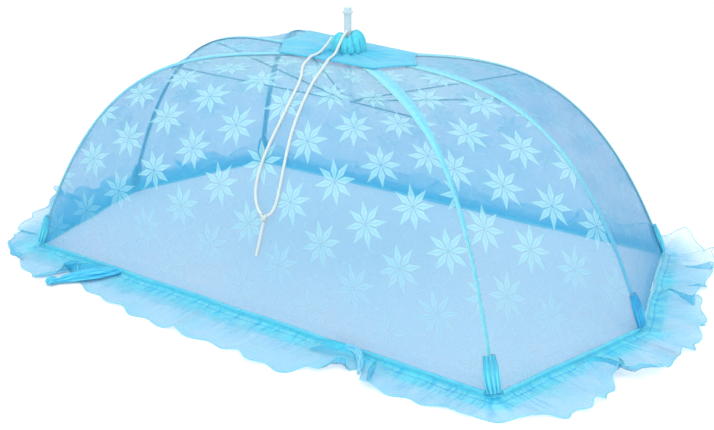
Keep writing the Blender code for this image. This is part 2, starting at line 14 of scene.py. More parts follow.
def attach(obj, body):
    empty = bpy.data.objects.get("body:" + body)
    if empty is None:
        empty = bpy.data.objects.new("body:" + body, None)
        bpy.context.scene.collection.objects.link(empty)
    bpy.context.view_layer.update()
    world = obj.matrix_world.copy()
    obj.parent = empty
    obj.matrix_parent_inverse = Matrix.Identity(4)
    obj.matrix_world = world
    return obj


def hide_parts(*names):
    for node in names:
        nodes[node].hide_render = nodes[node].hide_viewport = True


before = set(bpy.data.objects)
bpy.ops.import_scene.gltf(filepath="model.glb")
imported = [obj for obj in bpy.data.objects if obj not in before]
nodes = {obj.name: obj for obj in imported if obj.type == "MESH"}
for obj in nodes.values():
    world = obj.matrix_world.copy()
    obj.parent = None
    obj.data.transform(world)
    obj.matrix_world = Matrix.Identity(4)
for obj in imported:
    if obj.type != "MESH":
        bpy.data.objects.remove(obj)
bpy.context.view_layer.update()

# ---- camera ----
# It stands off the front right corner, a little above the crown, and looks down at the middle of the
# net. The front, the right end and the patch can be seen from there.
link = bpy.context.scene.collection.objects.link
lens = bpy.data.cameras.new("camera")
lens.lens = 53.8
camera = bpy.data.objects.new("camera", lens)
camera.location = (1.040, -1.424, 0.732)
camera.rotation_euler = Vector((-0.545, 0.760, -0.352)).to_track_quat("-Z", "Y").to_euler()
link(camera)
bpy.context.scene.camera = camera


# ---- pull cord ----
# One braided cotton cord hangs from the top in a long loop: two strands over the front panel, an
# overhand knot, and a short tail. Pulling it up slides the runner and folds the frame.
CORD_R = 0.00225
CORD_SIDES = 14
CORD_STEP = 0.0022
KNOT_AT = Vector((0.0365, -0.2696, 0.1543))
KNOT_TUBE = 0.0021
KNOT_TURN = 0.00135       # size of the loops that the knot is drawn up to
KNOT_POINTS = 96
KNOT_SIDES = 12
KNOT_STEP = 0.0011
BRAID_TURN = 0.0065       # length of cord in which a strand goes once round
BRAID_STRANDS = 4.0       # that go round each way
LEFT_ROUTE = (
    (-0.0215, -0.0150, 0.3835), (-0.0243, -0.0280, 0.3715), (-0.0254, -0.0410, 0.3640),
    (-0.0260, -0.0540, 0.3609), (-0.0261, -0.0655, 0.3602), (-0.0260, -0.0750, 0.3562),
    (-0.0245, -0.0870, 0.3511), (-0.0157, -0.1033, 0.3468), (-0.0037, -0.1211, 0.3408),
    (0.0056, -0.1403, 0.3326), (0.0116, -0.1603, 0.3210), (0.0146, -0.1808, 0.3045),
    (0.0147, -0.1982, 0.2859), (0.0118, -0.2145, 0.2635), (0.0079, -0.2296, 0.2379),
    (0.0059, -0.2424, 0.2121), (0.0080, -0.2530, 0.1884), (0.0149, -0.2600, 0.1709),
    (0.0240, -0.2645, 0.1610), (0.0310, -0.2665, 0.1571),
)
RIGHT_ROUTE = (
    (0.0044, -0.0078, 0.3965), (0.0052, -0.0200, 0.3890), (0.0046, -0.0300, 0.3770),
    (0.0042, -0.0390, 0.3660), (0.0050, -0.0490, 0.3612), (0.0078, -0.0600, 0.3604),
    (0.0100, -0.0690, 0.3582), (0.0127, -0.0803, 0.3528), (0.0185, -0.1021, 0.3456),
    (0.0245, -0.1228, 0.3390), (0.0306, -0.1432, 0.3301), (0.0367, -0.1665, 0.3159),
    (0.0408, -0.1873, 0.2977), (0.0439, -0.2057, 0.2760), (0.0469, -0.2217, 0.2514),
    (0.0499, -0.2356, 0.2253), (0.0519, -0.2481, 0.1981), (0.0510, -0.2579, 0.1742),
    (0.0470, -0.2637, 0.1625), (0.0415, -0.2663, 0.1578),
)
TAIL_ROUTE = (
    (0.0361, -0.2692, 0.1474), (0.0356, -0.2725, 0.1380), (0.0349, -0.2777, 0.1207),
    (0.0340, -0.2820, 0.1071), (0.0330, -0.2853, 0.0960),
)


def running_length(points):
    """Distance along a line of points, from its first point to each."""
    run = [0.0]
    for a, b in zip(points, points[1:]):
        run.append(run[-1] + (b - a).length)
    return run


def smooth_line(points, step):
    """Points of a smooth curve through the given ones, evenly spaced about a step apart."""
    ends = [points[0] * 2 - points[1], *points, points[-1] * 2 - points[-2]]
    cuts = 24
    fine = []
    for p0, p1, p2, p3 in zip(ends, ends[1:], ends[2:], ends[3:]):
        for t in (n / cuts for n in range(cuts)):
            fine.append(0.5 * (2 * p1 + (p2 - p0) * t + (2 * p0 - 5 * p1 + 4 * p2 - p3) * t * t
                               + (3 * p1 - p0 - 3 * p2 + p3) * t * t * t))
    fine.append(points[-1])
    run = running_length(fine)
    count = max(2, round(run[-1] / step))
    line = []
    for n in range(count + 1):
        at = min(max(bisect_left(run, run[-1] * n / count), 1), len(run) - 1)
        share = (run[-1] * n / count - run[at - 1]) / (run[at] - run[at - 1])
        line.append(fine[at - 1].lerp(fine[at], share))
    return line


def lofted(name, rings, cut, finish, wraps=True, ends="caps", sharp=50):
    """Mesh over rings of points. cut(r, c) is the same point on the flat cloth, in metres; ends are
    capped, left open, or joined to each other."""
    count = len(rings[0])
    steps = count if wraps else count - 1
    lines = len(rings) if ends == "joined" else len(rings) - 1
    faces, flat = [], []
    for r in range(lines):
        s = (r + 1) % len(rings)
        for c in range(steps):
            d = (c + 1) % count
            faces.append((r * count + c, r * count + d, s * count + d, s * count + c))
            flat += [cut(r, c), cut(r, c + 1), cut(r + 1, c + 1), cut(r + 1, c)]
    if ends == "caps":
        last = (len(rings) - 1) * count
        faces.append(tuple(reversed(range(count))))
        faces.append(tuple(range(last, last + count)))
        flat += [cut(0, c) for c in reversed(range(count))]
        flat += [cut(len(rings) - 1, c) for c in range(count)]
    mesh = bpy.data.meshes.new(name)
    mesh.from_pydata([tuple(p) for ring in rings for p in ring], [], faces)
    layer = mesh.uv_layers.new(name="cut")
    layer.data.foreach_set("uv", [value for pair in flat for value in pair])
    mesh.shade_smooth()
    mesh.set_sharp_from_angle(angle=radians(sharp))
    mesh.materials.append(finish)
    piece = bpy.data.objects.new(name, mesh)
    link(piece)
    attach(piece, "root")
    return piece


def angles_round(count):
    return [2 * pi * k / count for k in range(count)]


def circle(point, side, other, radius, sides):
    """Points of a circle that lies in the plane of two directions."""
    return [point + (side * cos(a) + other * sin(a)) * radius for a in angles_round(sides)]


def direction_at(points, n, closed=False):
    """Direction of a line at one of its points. A closed line runs on from its last to its first."""
    if closed:
        return (points[(n + 1) % len(points)] - points[n - 1]).normalized()
    return (points[min(n + 1, len(points) - 1)] - points[max(n - 1, 0)]).normalized()


def round_rings(points, radius, sides):
    """Rings of a round bar along a line of points, turned as little as possible from one to the next."""
    side = Vector((0.31, 0.17, 0.94))
    rings = []
    for n, point in enumerate(points):
        along = direction_at(points, n)
        side = (side - along * side.dot(along)).normalized()
        rings.append(circle(point, side, along.cross(side), radius, sides))
    return rings


class Wire:
    """An output of a material's node. Arithmetic on it adds Math nodes to the same tree."""

    def __init__(self, tree, socket):
        self.tree, self.socket = tree, socket

    def joined(self, operation, *others):
        node = self.tree.nodes.new("ShaderNodeMath")
        node.operation = operation
        for slot, value in zip(node.inputs, (self, *others)):
            if isinstance(value, Wire):
                self.tree.links.new(value.socket, slot)
            else:
                slot.default_value = value
        return Wire(self.tree, node.outputs[0])

    def __add__(self, other):
        return self.joined("ADD", other)

    def __sub__(self, other):
        return self.joined("SUBTRACT", other)

    def __mul__(self, other):
        return self.joined("MULTIPLY", other)

    def __truediv__(self, other):
        return self.joined("DIVIDE", other)

    def ramp(self, low, high):
        """0 below low, 1 above high, smooth between; low may be above high."""
        node = self.tree.nodes.new("ShaderNodeMapRange")
        node.interpolation_type = "SMOOTHSTEP"
        node.inputs["From Min"].default_value = low
        node.inputs["From Max"].default_value = high
        self.tree.links.new(self.socket, node.inputs["Value"])
        return Wire(self.tree, node.outputs["Result"])

    def mixed(self, low, high):
        """A colour from low, where this is 0, to high, where it is 1."""
        node = self.tree.nodes.new("ShaderNodeMix")
        node.data_type = "RGBA"
        self.tree.links.new(self.socket, node.inputs[0])
        # Its inputs 6 and 7 and its output 2 are the ones for colours.
        for slot, value in ((node.inputs[6], low), (node.inputs[7], high)):
            if isinstance(value, Wire):
                self.tree.links.new(value.socket, slot)
            else:
                slot.default_value = (*value, 1.0)
        return Wire(self.tree, node.outputs[2])

    def parts(self):
        """The X, Y and Z of a vector."""
        node = self.tree.nodes.new("ShaderNodeSeparateXYZ")
        self.tree.links.new(self.socket, node.inputs[0])
        return [Wire(self.tree, out) for out in node.outputs]

    def stretched(self, shares):
        """A vector with its X, Y and Z each multiplied."""
        node = self.tree.nodes.new("ShaderNodeVectorMath")
        node.operation = "MULTIPLY"
        node.inputs[1].default_value = shares
        self.tree.links.new(self.socket, node.inputs[0])
        return Wire(self.tree, node.outputs[0])

    def cloud(self, scale, detail=3.0):
        """Soft uneven mask from 0 to 1 over a vector."""
        node = self.tree.nodes.new("ShaderNodeTexNoise")
        node.inputs["Scale"].default_value = scale
        node.inputs["Detail"].default_value = detail
        self.tree.links.new(self.socket, node.inputs["Vector"])
        return Wire(self.tree, node.outputs[0])

    def feed(self, shader, label):
        self.tree.links.new(self.socket, shader.inputs[label])

    def raise_under(self, shader, depth):
        """Bump under the shader from a height of 0 to 1; depth is in metres."""
        node = self.tree.nodes.new("ShaderNodeBump")
        node.inputs["Strength"].default_value = 1.0
        node.inputs["Distance"].default_value = depth
        self.tree.links.new(self.socket, node.inputs["Height"])
        self.tree.links.new(node.outputs[0], shader.inputs["Normal"])


def new_group(name, takes, gives):
    """Node group with named sockets; returns it, its inputs as wires, and a way to set its outputs."""
    group = bpy.data.node_groups.new(name, "ShaderNodeTree")
    for label, kind in takes:
        group.interface.new_socket(name=label, in_out="INPUT", socket_type="NodeSocket" + kind)
    for label, kind in gives:
        group.interface.new_socket(name=label, in_out="OUTPUT", socket_type="NodeSocket" + kind)
    entry = group.nodes.new("NodeGroupInput")
    leave = group.nodes.new("NodeGroupOutput")
    wires = [Wire(group, entry.outputs[label]) for label, _ in takes]
    return group, wires, lambda label, wire: group.links.new(wire.socket, leave.inputs[label])


def placed(tree, group, **inputs):
    """The group as a node of this tree, as a dictionary of its outputs."""
    node = tree.nodes.new("ShaderNodeGroup")
    node.node_tree = group
    for label, value in inputs.items():
        if isinstance(value, Wire):
            value.feed(node, label)
        else:
            node.inputs[label].default_value = value
    return {out.name: Wire(tree, out) for out in node.outputs}


def new_finish(name, roughness, **constants):
    """Material with its Principled shader, its flat-cloth coordinates and its place in the object.
    Underscores in a constant's name stand for spaces."""
    made = bpy.data.materials.new(name)
    made.use_nodes = True
    tree = made.node_tree
    shader = tree.nodes["Principled BSDF"]
    shader.inputs["Roughness"].default_value = roughness
    for label, value in constants.items():
        shader.inputs[label.replace("_", " ")].default_value = value
    cut = tree.nodes.new("ShaderNodeUVMap")
    cut.uv_map = "cut"
    place = tree.nodes.new("ShaderNodeTexCoord")
    return made, tree, shader, Wire(tree, cut.outputs[0]), Wire(tree, place.outputs["Object"])


# Two sets of strands cross over each other round the cord.
braid, (around, along), out = new_group(
    "braid", (("Around", "Float"), ("Along", "Float")), (("Strand", "Float"),))
left_hand = ((around + along) * (2 * pi)).joined("SINE")
right_hand = ((around - along) * (2 * pi)).joined("SINE")
out("Strand", left_hand.joined("MAXIMUM", right_hand) * 0.5 + 0.5)


def cotton_finish():
    made, tree, shader, cut, place = new_finish("braided_cotton", 0.82, Sheen_Weight=0.25)
    around, along, _ = cut.parts()
    strand = placed(tree, braid, Around=around * BRAID_STRANDS, Along=along / BRAID_TURN)["Strand"]
    worn = place.cloud(60.0)
    # The grey-cyan tone lies in the braid's grooves between strands: painted shade, with a random uneven
    # tone over it.
    colour = (strand * 0.7 + worn * 0.3).mixed((0.36, 0.50, 0.53), (0.74, 0.80, 0.78))
    colour.feed(shader, "Base Color")
    strand.raise_under(shader, 0.0005)
    return made


cotton = cotton_finish()


def overhand_knot(middle):
    """A trefoil of the same cord, drawn tight."""
    line = [middle + Vector((sin(a) + 2 * sin(2 * a), -1.3 * sin(3 * a), cos(a) - 2 * cos(2 * a)))
            * KNOT_TURN for a in angles_round(KNOT_POINTS)]
    rings = []
    for n, point in enumerate(line):
        along = direction_at(line, n, closed=True)
        side = (point - middle).cross(along).normalized()
        rings.append(circle(point, side, along.cross(side), KNOT_TUBE, KNOT_SIDES))
    piece = lofted("overhand_knot", rings, lambda r, c: (c / KNOT_SIDES, r * KNOT_STEP), cotton,
                   ends="joined")
    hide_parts("cord_knot")
    return piece


def cord(name, node, route):
    line = smooth_line([Vector(p) for p in route], CORD_STEP)
    run = running_length(line)
    rings = round_rings(line, CORD_R, CORD_SIDES)
    piece = lofted(name, rings, lambda r, c: (c / CORD_SIDES, run[r]), cotton)
    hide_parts(node)


knot = overhand_knot(KNOT_AT)
cord("strand_left", "cord_left", LEFT_ROUTE)
cord("strand_right", "cord_right", RIGHT_ROUTE)
cord("loose_tail", "cord_tail", TAIL_ROUTE)


# ---- steel ribs ----
# Six sprung wires curve from the hub to the corners of a long hexagon and carry all the cloth. Each
# is drawn steel, 3 mm thick, and ends inside a cloth pocket on the floor.
TIP_X = 0.550
CORNER_X = 0.466
CORNER_Y = 0.309
HUB_RISE = 0.355
CROWN = 0.05
BLEND = 0.60
START_RADIUS = 0.030
NET_BOTTOM = 0.0102
RIB_R = 0.0015
HUB_R = 0.017
GAP = 0.0003
RIB_LENGTHS = 72
RIB_SIDES = 10
RIB_END = 0.992           # share of the length where the steel stops inside its pocket
TABLE_STEPS = 400
DRAWN_OUT = 0.05          # shrinks lengths along the wire, which draws its grain out
Rib = namedtuple("Rib", "name x y rise power")
RIBS = (
    Rib("front_right", CORNER_X, -CORNER_Y, 0.340, 4.4),
    Rib("right", TIP_X, 0.0, 0.348, 4.1),
    Rib("back_right", CORNER_X, CORNER_Y, 0.361, 3.7),
    Rib("back_left", -CORNER_X, CORNER_Y, 0.365, 4.3),
    Rib("left", -TIP_X, 0.0, 0.372, 4.3),
    Rib("front_left", -CORNER_X, -CORNER_Y, 0.358, 4.3),
)


def smooth(value):
    value = min(max(value, 0.0), 1.0)
    return value * value * (3.0 - 2.0 * value)


def mix(a, b, share):
    return a + (b - a) * share


def skin(rib, share):
    """A point on a rib's line of the skin; share is 0 at the hub and 1 on the floor."""
    rise = mix(HUB_RISE, rib.rise, smooth((share - CROWN) / BLEND))
    return Vector((share * rib.x, share * rib.y, rise * (1.0 - min(share, 1.0) ** rib.power)))


def rib_table(rib):
    """Shares along a rib with the length of cloth from START_RADIUS down to each."""
    first = START_RADIUS / hypot(rib.x, rib.y)
    last = (1.0 - NET_BOTTOM / rib.rise) ** (1.0 / rib.power)
    shares = [mix(first, last, n / TABLE_STEPS) for n in range(TABLE_STEPS + 1)]
    return shares, running_length([skin(rib, share) for share in shares])


TABLES = [rib_table(rib) for rib in RIBS]


def share_at(i, down):
    """Share at which an even part of rib i's length is passed; down runs from 0 to 1."""
    shares, run = TABLES[i % 6]
    want = min(max(down, 0.0), 1.0) * run[-1]
    at = min(max(bisect_left(run, want), 1), len(run) - 1)
    return mix(shares[at - 1], shares[at], (want - run[at - 1]) / (run[at] - run[at - 1]))


def ridge(i, down):
    return skin(RIBS[i % 6], share_at(i, down))


Frame = namedtuple("Frame", "point left right normal_left normal_right crest mitre")


def ridge_frame(i, down):
    """A point of rib i, with the ways along both panels there, square to both, and between those."""
    point = ridge(i, down)
    along = (ridge(i, down + 0.02) - ridge(i, down - 0.02)).normalized()
    left = (ridge(i - 1, down) - point).normalized()
    right = (ridge(i + 1, down) - point).normalized()
    left = (left - along * left.dot(along)).normalized()
    right = (right - along * right.dot(along)).normalized()
    normal_left, normal_right = left.cross(along), along.cross(right)
    crest = (normal_left + normal_right).normalized()
    return Frame(point, left, right, normal_left, normal_right, crest, 1.0 / crest.dot(normal_left))


def steel_finish():
    made, _, shader, cut, place = new_finish("spring_steel", 0.34, Metallic=1.0)
    drawn = cut.cloud(900.0, 2.0)
    rust = place.cloud(38.0, 5.0).ramp(0.60, 0.78)
    colour = drawn.mixed((0.27, 0.30, 0.34), (0.50, 0.54, 0.60))
    rust.mixed(colour, (0.22, 0.17, 0.14)).feed(shader, "Base Color")
    (drawn * 0.2 + rust * 0.3 + 0.26).feed(shader, "Roughness")
    drawn.raise_under(shader, 0.00003)
    return made


steel = steel_finish()


def rib_line(i):
    """Centre line of a rib, just under its tape, from the hub's side to inside its pocket."""
    line = [Vector((RIBS[i].x, RIBS[i].y, 0)).normalized() * (HUB_R + GAP)]
    for n in range(RIB_LENGTHS + 1):
        f = ridge_frame(i, RIB_END * n / RIB_LENGTHS)
        line.append(f.point - f.crest * RIB_R * f.mitre)
    line[0].z = line[1].z
    return line


for i, rib in enumerate(RIBS):
    line = rib_line(i)
    run = running_length(line)
    wire = lofted("wire_" + rib.name, round_rings(line, RIB_R, RIB_SIDES),
                  lambda r, c: (c * 0.00094, run[r] * DRAWN_OUT), steel)
    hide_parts("rib_" + rib.name)


def plastic_finish(name, light, shade):
    made, _, shader, _, place = new_finish(
        name, 0.36, Coat_Weight=0.25, Coat_Roughness=0.3, Subsurface_Weight=0.15)
    shader.inputs["Subsurface Radius"].default_value = (0.004, 0.004, 0.005)
    marks = place.cloud(420.0, 2.0)
    place.cloud(90.0, 4.0).mixed(shade, light).feed(shader, "Base Color")
    (marks * 0.22 + 0.26).feed(shader, "Roughness")
    marks.raise_under(shader, 0.00008)
    return made


def strut_finish():
    made, _, shader, _, place = new_finish("blued_wire", 0.45, Metallic=0.6)
    worn = place.cloud(160.0, 4.0)
    worn.mixed((0.05, 0.13, 0.18), (0.28, 0.42, 0.48)).feed(shader, "Base Color")
    (worn * 0.3 + 0.3).feed(shader, "Roughness")
    worn.raise_under(shader, 0.00004)
    return made


blued = strut_finish()
milky = plastic_finish("milky_plastic", (0.57, 0.69, 0.75), (0.40, 0.55, 0.63))
pale = plastic_finish("pale_plastic", (0.86, 0.92, 0.96), (0.68, 0.80, 0.88))
for name, finish in (("hub", pale), ("centre_post", pale), ("runner", pale), ("top_rod", milky)):
    nodes[name].material_slots[0].material = finish
for rib in RIBS:
    nodes["strut_" + rib.name].material_slots[0].material = blued
    nodes["clip_" + rib.name].material_slots[0].material = milky


# ---- lace panels ----
# Six gores of sheer warp-knitted lace hang between the ribs. Eight-petalled flowers are knitted
# densely into a fine open mesh, in offset rows, and each gore is pulled a little inward by its seams.
# The six sides, round from the front right rib, and whether each is a long or a short one.
SIDES = ("right_front", "right_back", "back", "left_back", "left_front", "front")
KINDS = ("short", "short", "long", "short", "short", "long")
SAG = {"long": 0.009, "short": 0.004}
PANEL_CELLS = {"long": 120, "short": 60}
PANEL_ROWS = 84
SEAM_HALF = 0.004
UNDER_SKIN = 0.0002       # how far in a gore starts from the line of its ribs
TUCKED_IN = 0.0045        # how far the foot of a gore goes down into its binding
FLOWER_ACROSS = 0.142     # between flowers of a row
FLOWER_DOWN = 0.098       # between every second row
PETAL = 0.0395
PETAL_WIDEST = 0.45       # share of its length where a petal is widest
PETAL_SPREAD = 0.355      # half width there, as a share of the distance from the middle
MESH_PITCH = 0.0013
MESH_SLANT = 0.7
STEM_PITCH = 0.0058
FOLD_COLOUR = (0.05, 0.76, 0.90)
# Where the pattern falls on each gore, across and up.
PATTERN_SHIFT = ((-0.020, 0.0275), (0.05, 0.03), (0.03, 0.02), (0.01, 0.04), (0.06, 0.015),
                 (0.004, -0.0045))
# Each gore is pulled into small waves beside its two seams, high up, and gathered at its foot.
PULL_WAVE = 0.028         # as a share of the way down
FOOT_WAVE = 0.021

lace, (cut,), out = new_group(
    "flower_lace", (("Cut", "Vector"),),
    (("Flower", "Float"), ("Vein", "Float"), ("Mesh", "Float"), ("Stem", "Float")))
x, y, _ = cut.parts()
column, row = x / FLOWER_ACROSS, y / FLOWER_DOWN
flowers, veins = [], []
for shift in (0.0, 0.5):
    from_x = ((column + shift + 0.5).joined("FRACT") - 0.5) * FLOWER_ACROSS
    from_y = ((row + shift).joined("FRACT") - 0.5) * FLOWER_DOWN
    far = (from_x * from_x + from_y * from_y).joined("SQRT")
    eighths = from_y.joined("ARCTAN2", from_x) / (pi / 4)
    turn = (eighths.joined("FRACT") - 0.5) * (pi / 4)
    down_petal = far * turn.joined("COSINE")
    aside = (far * turn.joined("SINE")).joined("ABSOLUTE")
    taper = PETAL_SPREAD * PETAL_WIDEST / (1 - PETAL_WIDEST)
    half = (down_petal * PETAL_SPREAD).joined("MINIMUM", (down_petal * -1.0 + PETAL) * taper)
    flowers.append((half - aside).ramp(-0.0002, 0.0009) * far.ramp(0.0012, 0.0030))
    inside = down_petal.ramp(0.004, 0.008) * down_petal.ramp(0.036, 0.026)
    veins.append(aside.ramp(0.0010, 0.0002) * inside)
flower = flowers[0].joined("MAXIMUM", flowers[1])
out("Flower", flower)
out("Vein", veins[0].joined("MAXIMUM", veins[1]) * flower)
rising = ((x + y * MESH_SLANT) * (pi / MESH_PITCH)).joined("SINE").joined("ABSOLUTE")
falling = ((x - y * MESH_SLANT) * (pi / MESH_PITCH)).joined("SINE").joined("ABSOLUTE")
out("Mesh", rising.ramp(0.62, 0.18).joined("MAXIMUM", falling.ramp(0.62, 0.18)))
one_way = ((column + row + 0.5).joined("FRACT") - 0.5).joined("ABSOLUTE")
other_way = ((column - row + 0.5).joined("FRACT") - 0.5).joined("ABSOLUTE")
dashes = (x * (pi / STEM_PITCH)).joined("SINE").ramp(-0.3, 0.4)
out("Stem", one_way.joined("MINIMUM", other_way).ramp(0.014, 0.004) * dashes)


def lit_cover(tree, cover, through):
    """A cloth's cover, less for lamps than for the eye by the share that shines through it."""
    path = tree.nodes.new("ShaderNodeLightPath")
    return (Wire(tree, path.outputs["Is Shadow Ray"]) * -through + 1.0) * cover


def lace_finish(name, ground, thread, petal, clear, clouding, bloom=1.0, hemmed=0.4, shade=0.0,
                gathers=0.0):
    """clear is how much of the open mesh is cloth, and bloom how dense the flowers are knitted.
    They thin out toward the floor, where a folded hem doubles the mesh and shade sets a band of
    painted shade, deeper and closer, and the mesh is paler by the crown. gathers draws a ruffle
    together in lines near its inner edge, with painted shade in those lines; there it is folded
    double in front, and a seam holds it down; at the back it thins out toward its edge."""
    made, tree, shader, cut, place = new_finish(name, 0.72, Sheen_Weight=0.15, Sheen_Roughness=0.5)
    shader.inputs["Specular IOR Level"].default_value = 0.25
    uneven = place.cloud(700.0, 2.0)
    drift = place.cloud(clouding)
    marks = placed(tree, lace, Cut=cut)
    side, depth, up = place.parts()
    _, away, _ = cut.parts()
    # Masks that every panel has, then those that only a ruffle has.
    # The second term is painted shade: a deeper, closer band above the floor.
    hem = up.ramp(0.0290, 0.0210) * (drift * 0.5 + 0.5) * hemmed + up.ramp(0.110, 0.010) * shade
    knit = marks["Flower"] * (up.ramp(0.03, 0.20) * (0.72 * bloom) + 0.22 * bloom)
    # The mesh turns paler toward the crown.
    paler_by_crown = up.ramp(0.295, 0.352) * 0.32
    # Gather lines of a ruffle: denser, raised cloth, drawn darker as painted shade in its creases.
    lines = cut.stretched((1.0, 0.10, 1.0)).cloud(210.0).ramp(0.44, 0.64)
    gather_lines_and_shade = lines * (away.ramp(0.105, 0.022) * gathers)
    wander = drift * 0.010
    heading = (away + wander + side.ramp(-0.25, 0.35) * 0.024).ramp(0.0735, 0.0710) * gathers
    seam = (away + wander - 0.0330).joined("ABSOLUTE").ramp(0.0013, 0.0004) * gathers
    fold = away.ramp(0.062, 0.034) * (drift + 0.10) * depth.ramp(0.28, 0.20) * gathers
    # Colour: the open mesh, what is folded or sewn in it, the painted shade of the gather lines, and the
    # flowers over it.
    mesh = (marks["Mesh"] * 0.35 + drift * 0.65).mixed(ground, thread)
    mesh = (marks["Stem"] * 0.22 + hem * 0.2 + heading * 0.22 + paler_by_crown).mixed(mesh, petal)
    mesh = fold.mixed(mesh, FOLD_COLOUR) if gathers else mesh
    mesh = (gather_lines_and_shade * 0.7 + seam * 0.8).mixed(mesh, ground)
    flower = (marks["Vein"] * 0.40 + uneven * 0.45).mixed(petal, thread)
    knit.mixed(mesh, flower).feed(shader, "Base Color")
    # How much of the floor behind it each mark hides.
    cover = marks["Mesh"] * 0.07 + marks["Stem"] * 0.07 + drift * 0.18 + (clear - 0.12)
    cover = cover + hem * 0.42 + gather_lines_and_shade * 0.24 + heading * 0.14 + seam * 0.35 + fold * 0.24
    cover = cover - away.ramp(0.035, 0.095) * depth.ramp(0.24, 0.33) * (gathers * 0.36)
    cover = (cover + knit * (0.76 - clear)).joined("MINIMUM", 0.94)
    lit_cover(tree, cover, 0.80).feed(shader, "Alpha")
    height = marks["Flower"] * 0.7 + marks["Vein"] * -0.3 + marks["Mesh"] * 0.25 + gather_lines_and_shade
    height.raise_under(shader, 0.0006)
    return made


# One lace in three copies: clearest on the two near gores, with painted shade in the far ones, deepest at
# the right end: deeper colours, closer cover, fainter flowers and a darker band above the floor.
net_lace = lace_finish("net_lace", (0.020, 0.35, 0.70), (0.050, 0.48, 0.78), (0.42, 0.79, 0.84),
                       clear=0.455, clouding=5.0, hemmed=0.12)
shaded_far_lace = lace_finish("shaded_far_lace", (0.006, 0.34, 0.70), (0.030, 0.45, 0.76), (0.30, 0.71, 0.84),
                       clear=0.53, clouding=5.0, bloom=0.8, shade=0.16)
shaded_end_lace = lace_finish("shaded_end_lace", (0.004, 0.28, 0.62), (0.015, 0.38, 0.70), (0.20, 0.62, 0.76),
                       clear=0.54, clouding=7.0, bloom=0.45, shade=0.45)
LACES = (net_lace, shaded_end_lace, shaded_far_lace, shaded_far_lace, shaded_far_lace, net_lace)


def hang(i, t, down, across, point):
    """How far a point of gore i hangs in from the straight line between its ribs: an even sag, a slow
    unevenness, small waves beside both seams high up, and gathers at its foot."""
    slack = sin(pi * t)
    belly = SAG[KINDS[i]] * slack * sin(pi * down) * (1 + 0.25 * sin(2 * pi * t + 2 * i))
    belly += 0.0012 * slack * (noise.noise(point * 9 + Vector((i * 3.1, 0, 0))) + 0.6)
    pull = exp(-((t - 0.93) / 0.16) ** 2) + exp(-((t - 0.07) / 0.16) ** 2)
    pull *= exp(-((down - 0.22) / 0.12) ** 2) * slack ** 0.5
    belly += 0.0010 * pull * (1 + sin(2 * pi * down / PULL_WAVE + 5 * abs(t - 0.5) + i))
    gathers = exp(-(1 - down) / 0.05) * slack ** 0.3
    belly += 0.0009 * gathers * (1 + sin(2 * pi * across / FOOT_WAVE + 3 * sin(across * 31)))
    return belly + UNDER_SKIN


def panel(side, i):
    """One gore, ruled between its two ribs and hung in from them."""
    rib, other = RIBS[i], RIBS[(i + 1) % 6]
    cells = PANEL_CELLS[KINDS[i]]
    foot, end = Vector((rib.x, rib.y, 0)), Vector((other.x, other.y, 0))
    way = (end - foot).normalized()
    middle = (foot + end) / 2
    shift = PATTERN_SHIFT[i]
    rows = []
    for k in range(PANEL_ROWS + 1):
        down = k / PANEL_ROWS
        near, far = ridge_frame(i, down), ridge_frame(i + 1, down)
        chord = (far.point - near.point).length
        near_share, far_share = share_at(i, down), share_at(i + 1, down)
        edge = SEAM_HALF * 1.05 / chord
        row = []
        for c in range(cells + 1):
            t = mix(edge, 1 - edge, c / cells)
            plan = hypot(mix(rib.x, other.x, t), mix(rib.y, other.y, t))
            first = mix(share_at(i, 0), share_at(i + 1, 0), t)
            extra = (START_RADIUS / plan - first) * (1 - down) ** 3
            point = mix(skin(rib, near_share + extra), skin(other, far_share + extra), t)
            square = mix(near.normal_right, far.normal_left, t).normalized()
            row.append(point - square * hang(i, t, down, (point - middle).dot(way), point))
        rows.append(row)
    up = [[0.0] * (cells + 1) for _ in rows]
    for k in range(PANEL_ROWS - 1, -1, -1):
        up[k] = [above + (rows[k][c] - rows[k + 1][c]).length for c, above in enumerate(up[k + 1])]

    def cut(r, c):
        return (rows[r][c] - middle).dot(way) - shift[0], up[r][c] + NET_BOTTOM - shift[1]

    rows.append([point + Vector((0, 0, -TUCKED_IN)) for point in rows[-1]])
    up.append([-TUCKED_IN] * (cells + 1))
    piece = lofted("lace_" + side, rows, cut, LACES[i], wraps=False, ends="open")
    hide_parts("net_" + side)
    width, height = (rows[-1][-1] - rows[-1][0]).length, up[0][cells // 2] + TUCKED_IN
    sum(face.area for face in piece.data.polygons)


for i, side in enumerate(SIDES):
    panel(side, i)


# ---- rib tapes ----
# A woven tape, folded along its middle, is stitched over each rib from the crown to the floor. It
# carries a row of stitches along both edges and puckers slightly.
TAPE_HALF = 0.006
TAPE_ROWS = 150
TAPE_THICK = 0.0008
TAPE_PUCKER = 0.016       # from one pucker to the next, as a share of the tape's length
# Each tape spreads near the crown and is pulled narrower half way down: shares of its width.
TAPE_SPREAD = {"front_right": 1.75, "right": 1.60}
TAPE_NARROW = {"front_right": 0.46, "front_left": 0.60, "right": 0.80}
TAPE_ACROSS = (-1.0, -0.8, -0.45, -0.16, 0.0, 0.16, 0.45, 0.8, 1.0)
THREADS = 1500.0          # in each metre of woven cloth
STITCH_PITCH = 0.0032

# Threads over and under each other.
weave, (cut, threads), out = new_group(
    "plain_weave", (("Cut", "Vector"), ("Threads", "Float")), (("Over", "Float"),))
x, y, _ = cut.parts()
warp = (x * threads * pi).joined("SINE")
weft = (y * threads * pi).joined("SINE")
out("Over", warp * weft * 0.5 + 0.5)

# A row of stitches along the cloth, at a distance from its middle line.
stitching, (across, along, away, pitch), out = new_group(
    "stitch_row", (("Across", "Float"), ("Along", "Float"), ("Away", "Float"), ("Pitch", "Float")),
    (("Stitch", "Float"), ("Dent", "Float")))
gap = (across.joined("ABSOLUTE") - away).joined("ABSOLUTE")
beat = (along / pitch).joined("FRACT")
out("Stitch", gap.ramp(0.0006, 0.0003) * beat.ramp(0.1, 0.2) * beat.ramp(0.9, 0.8))
out("Dent", gap.ramp(0.0016, 0.0004))


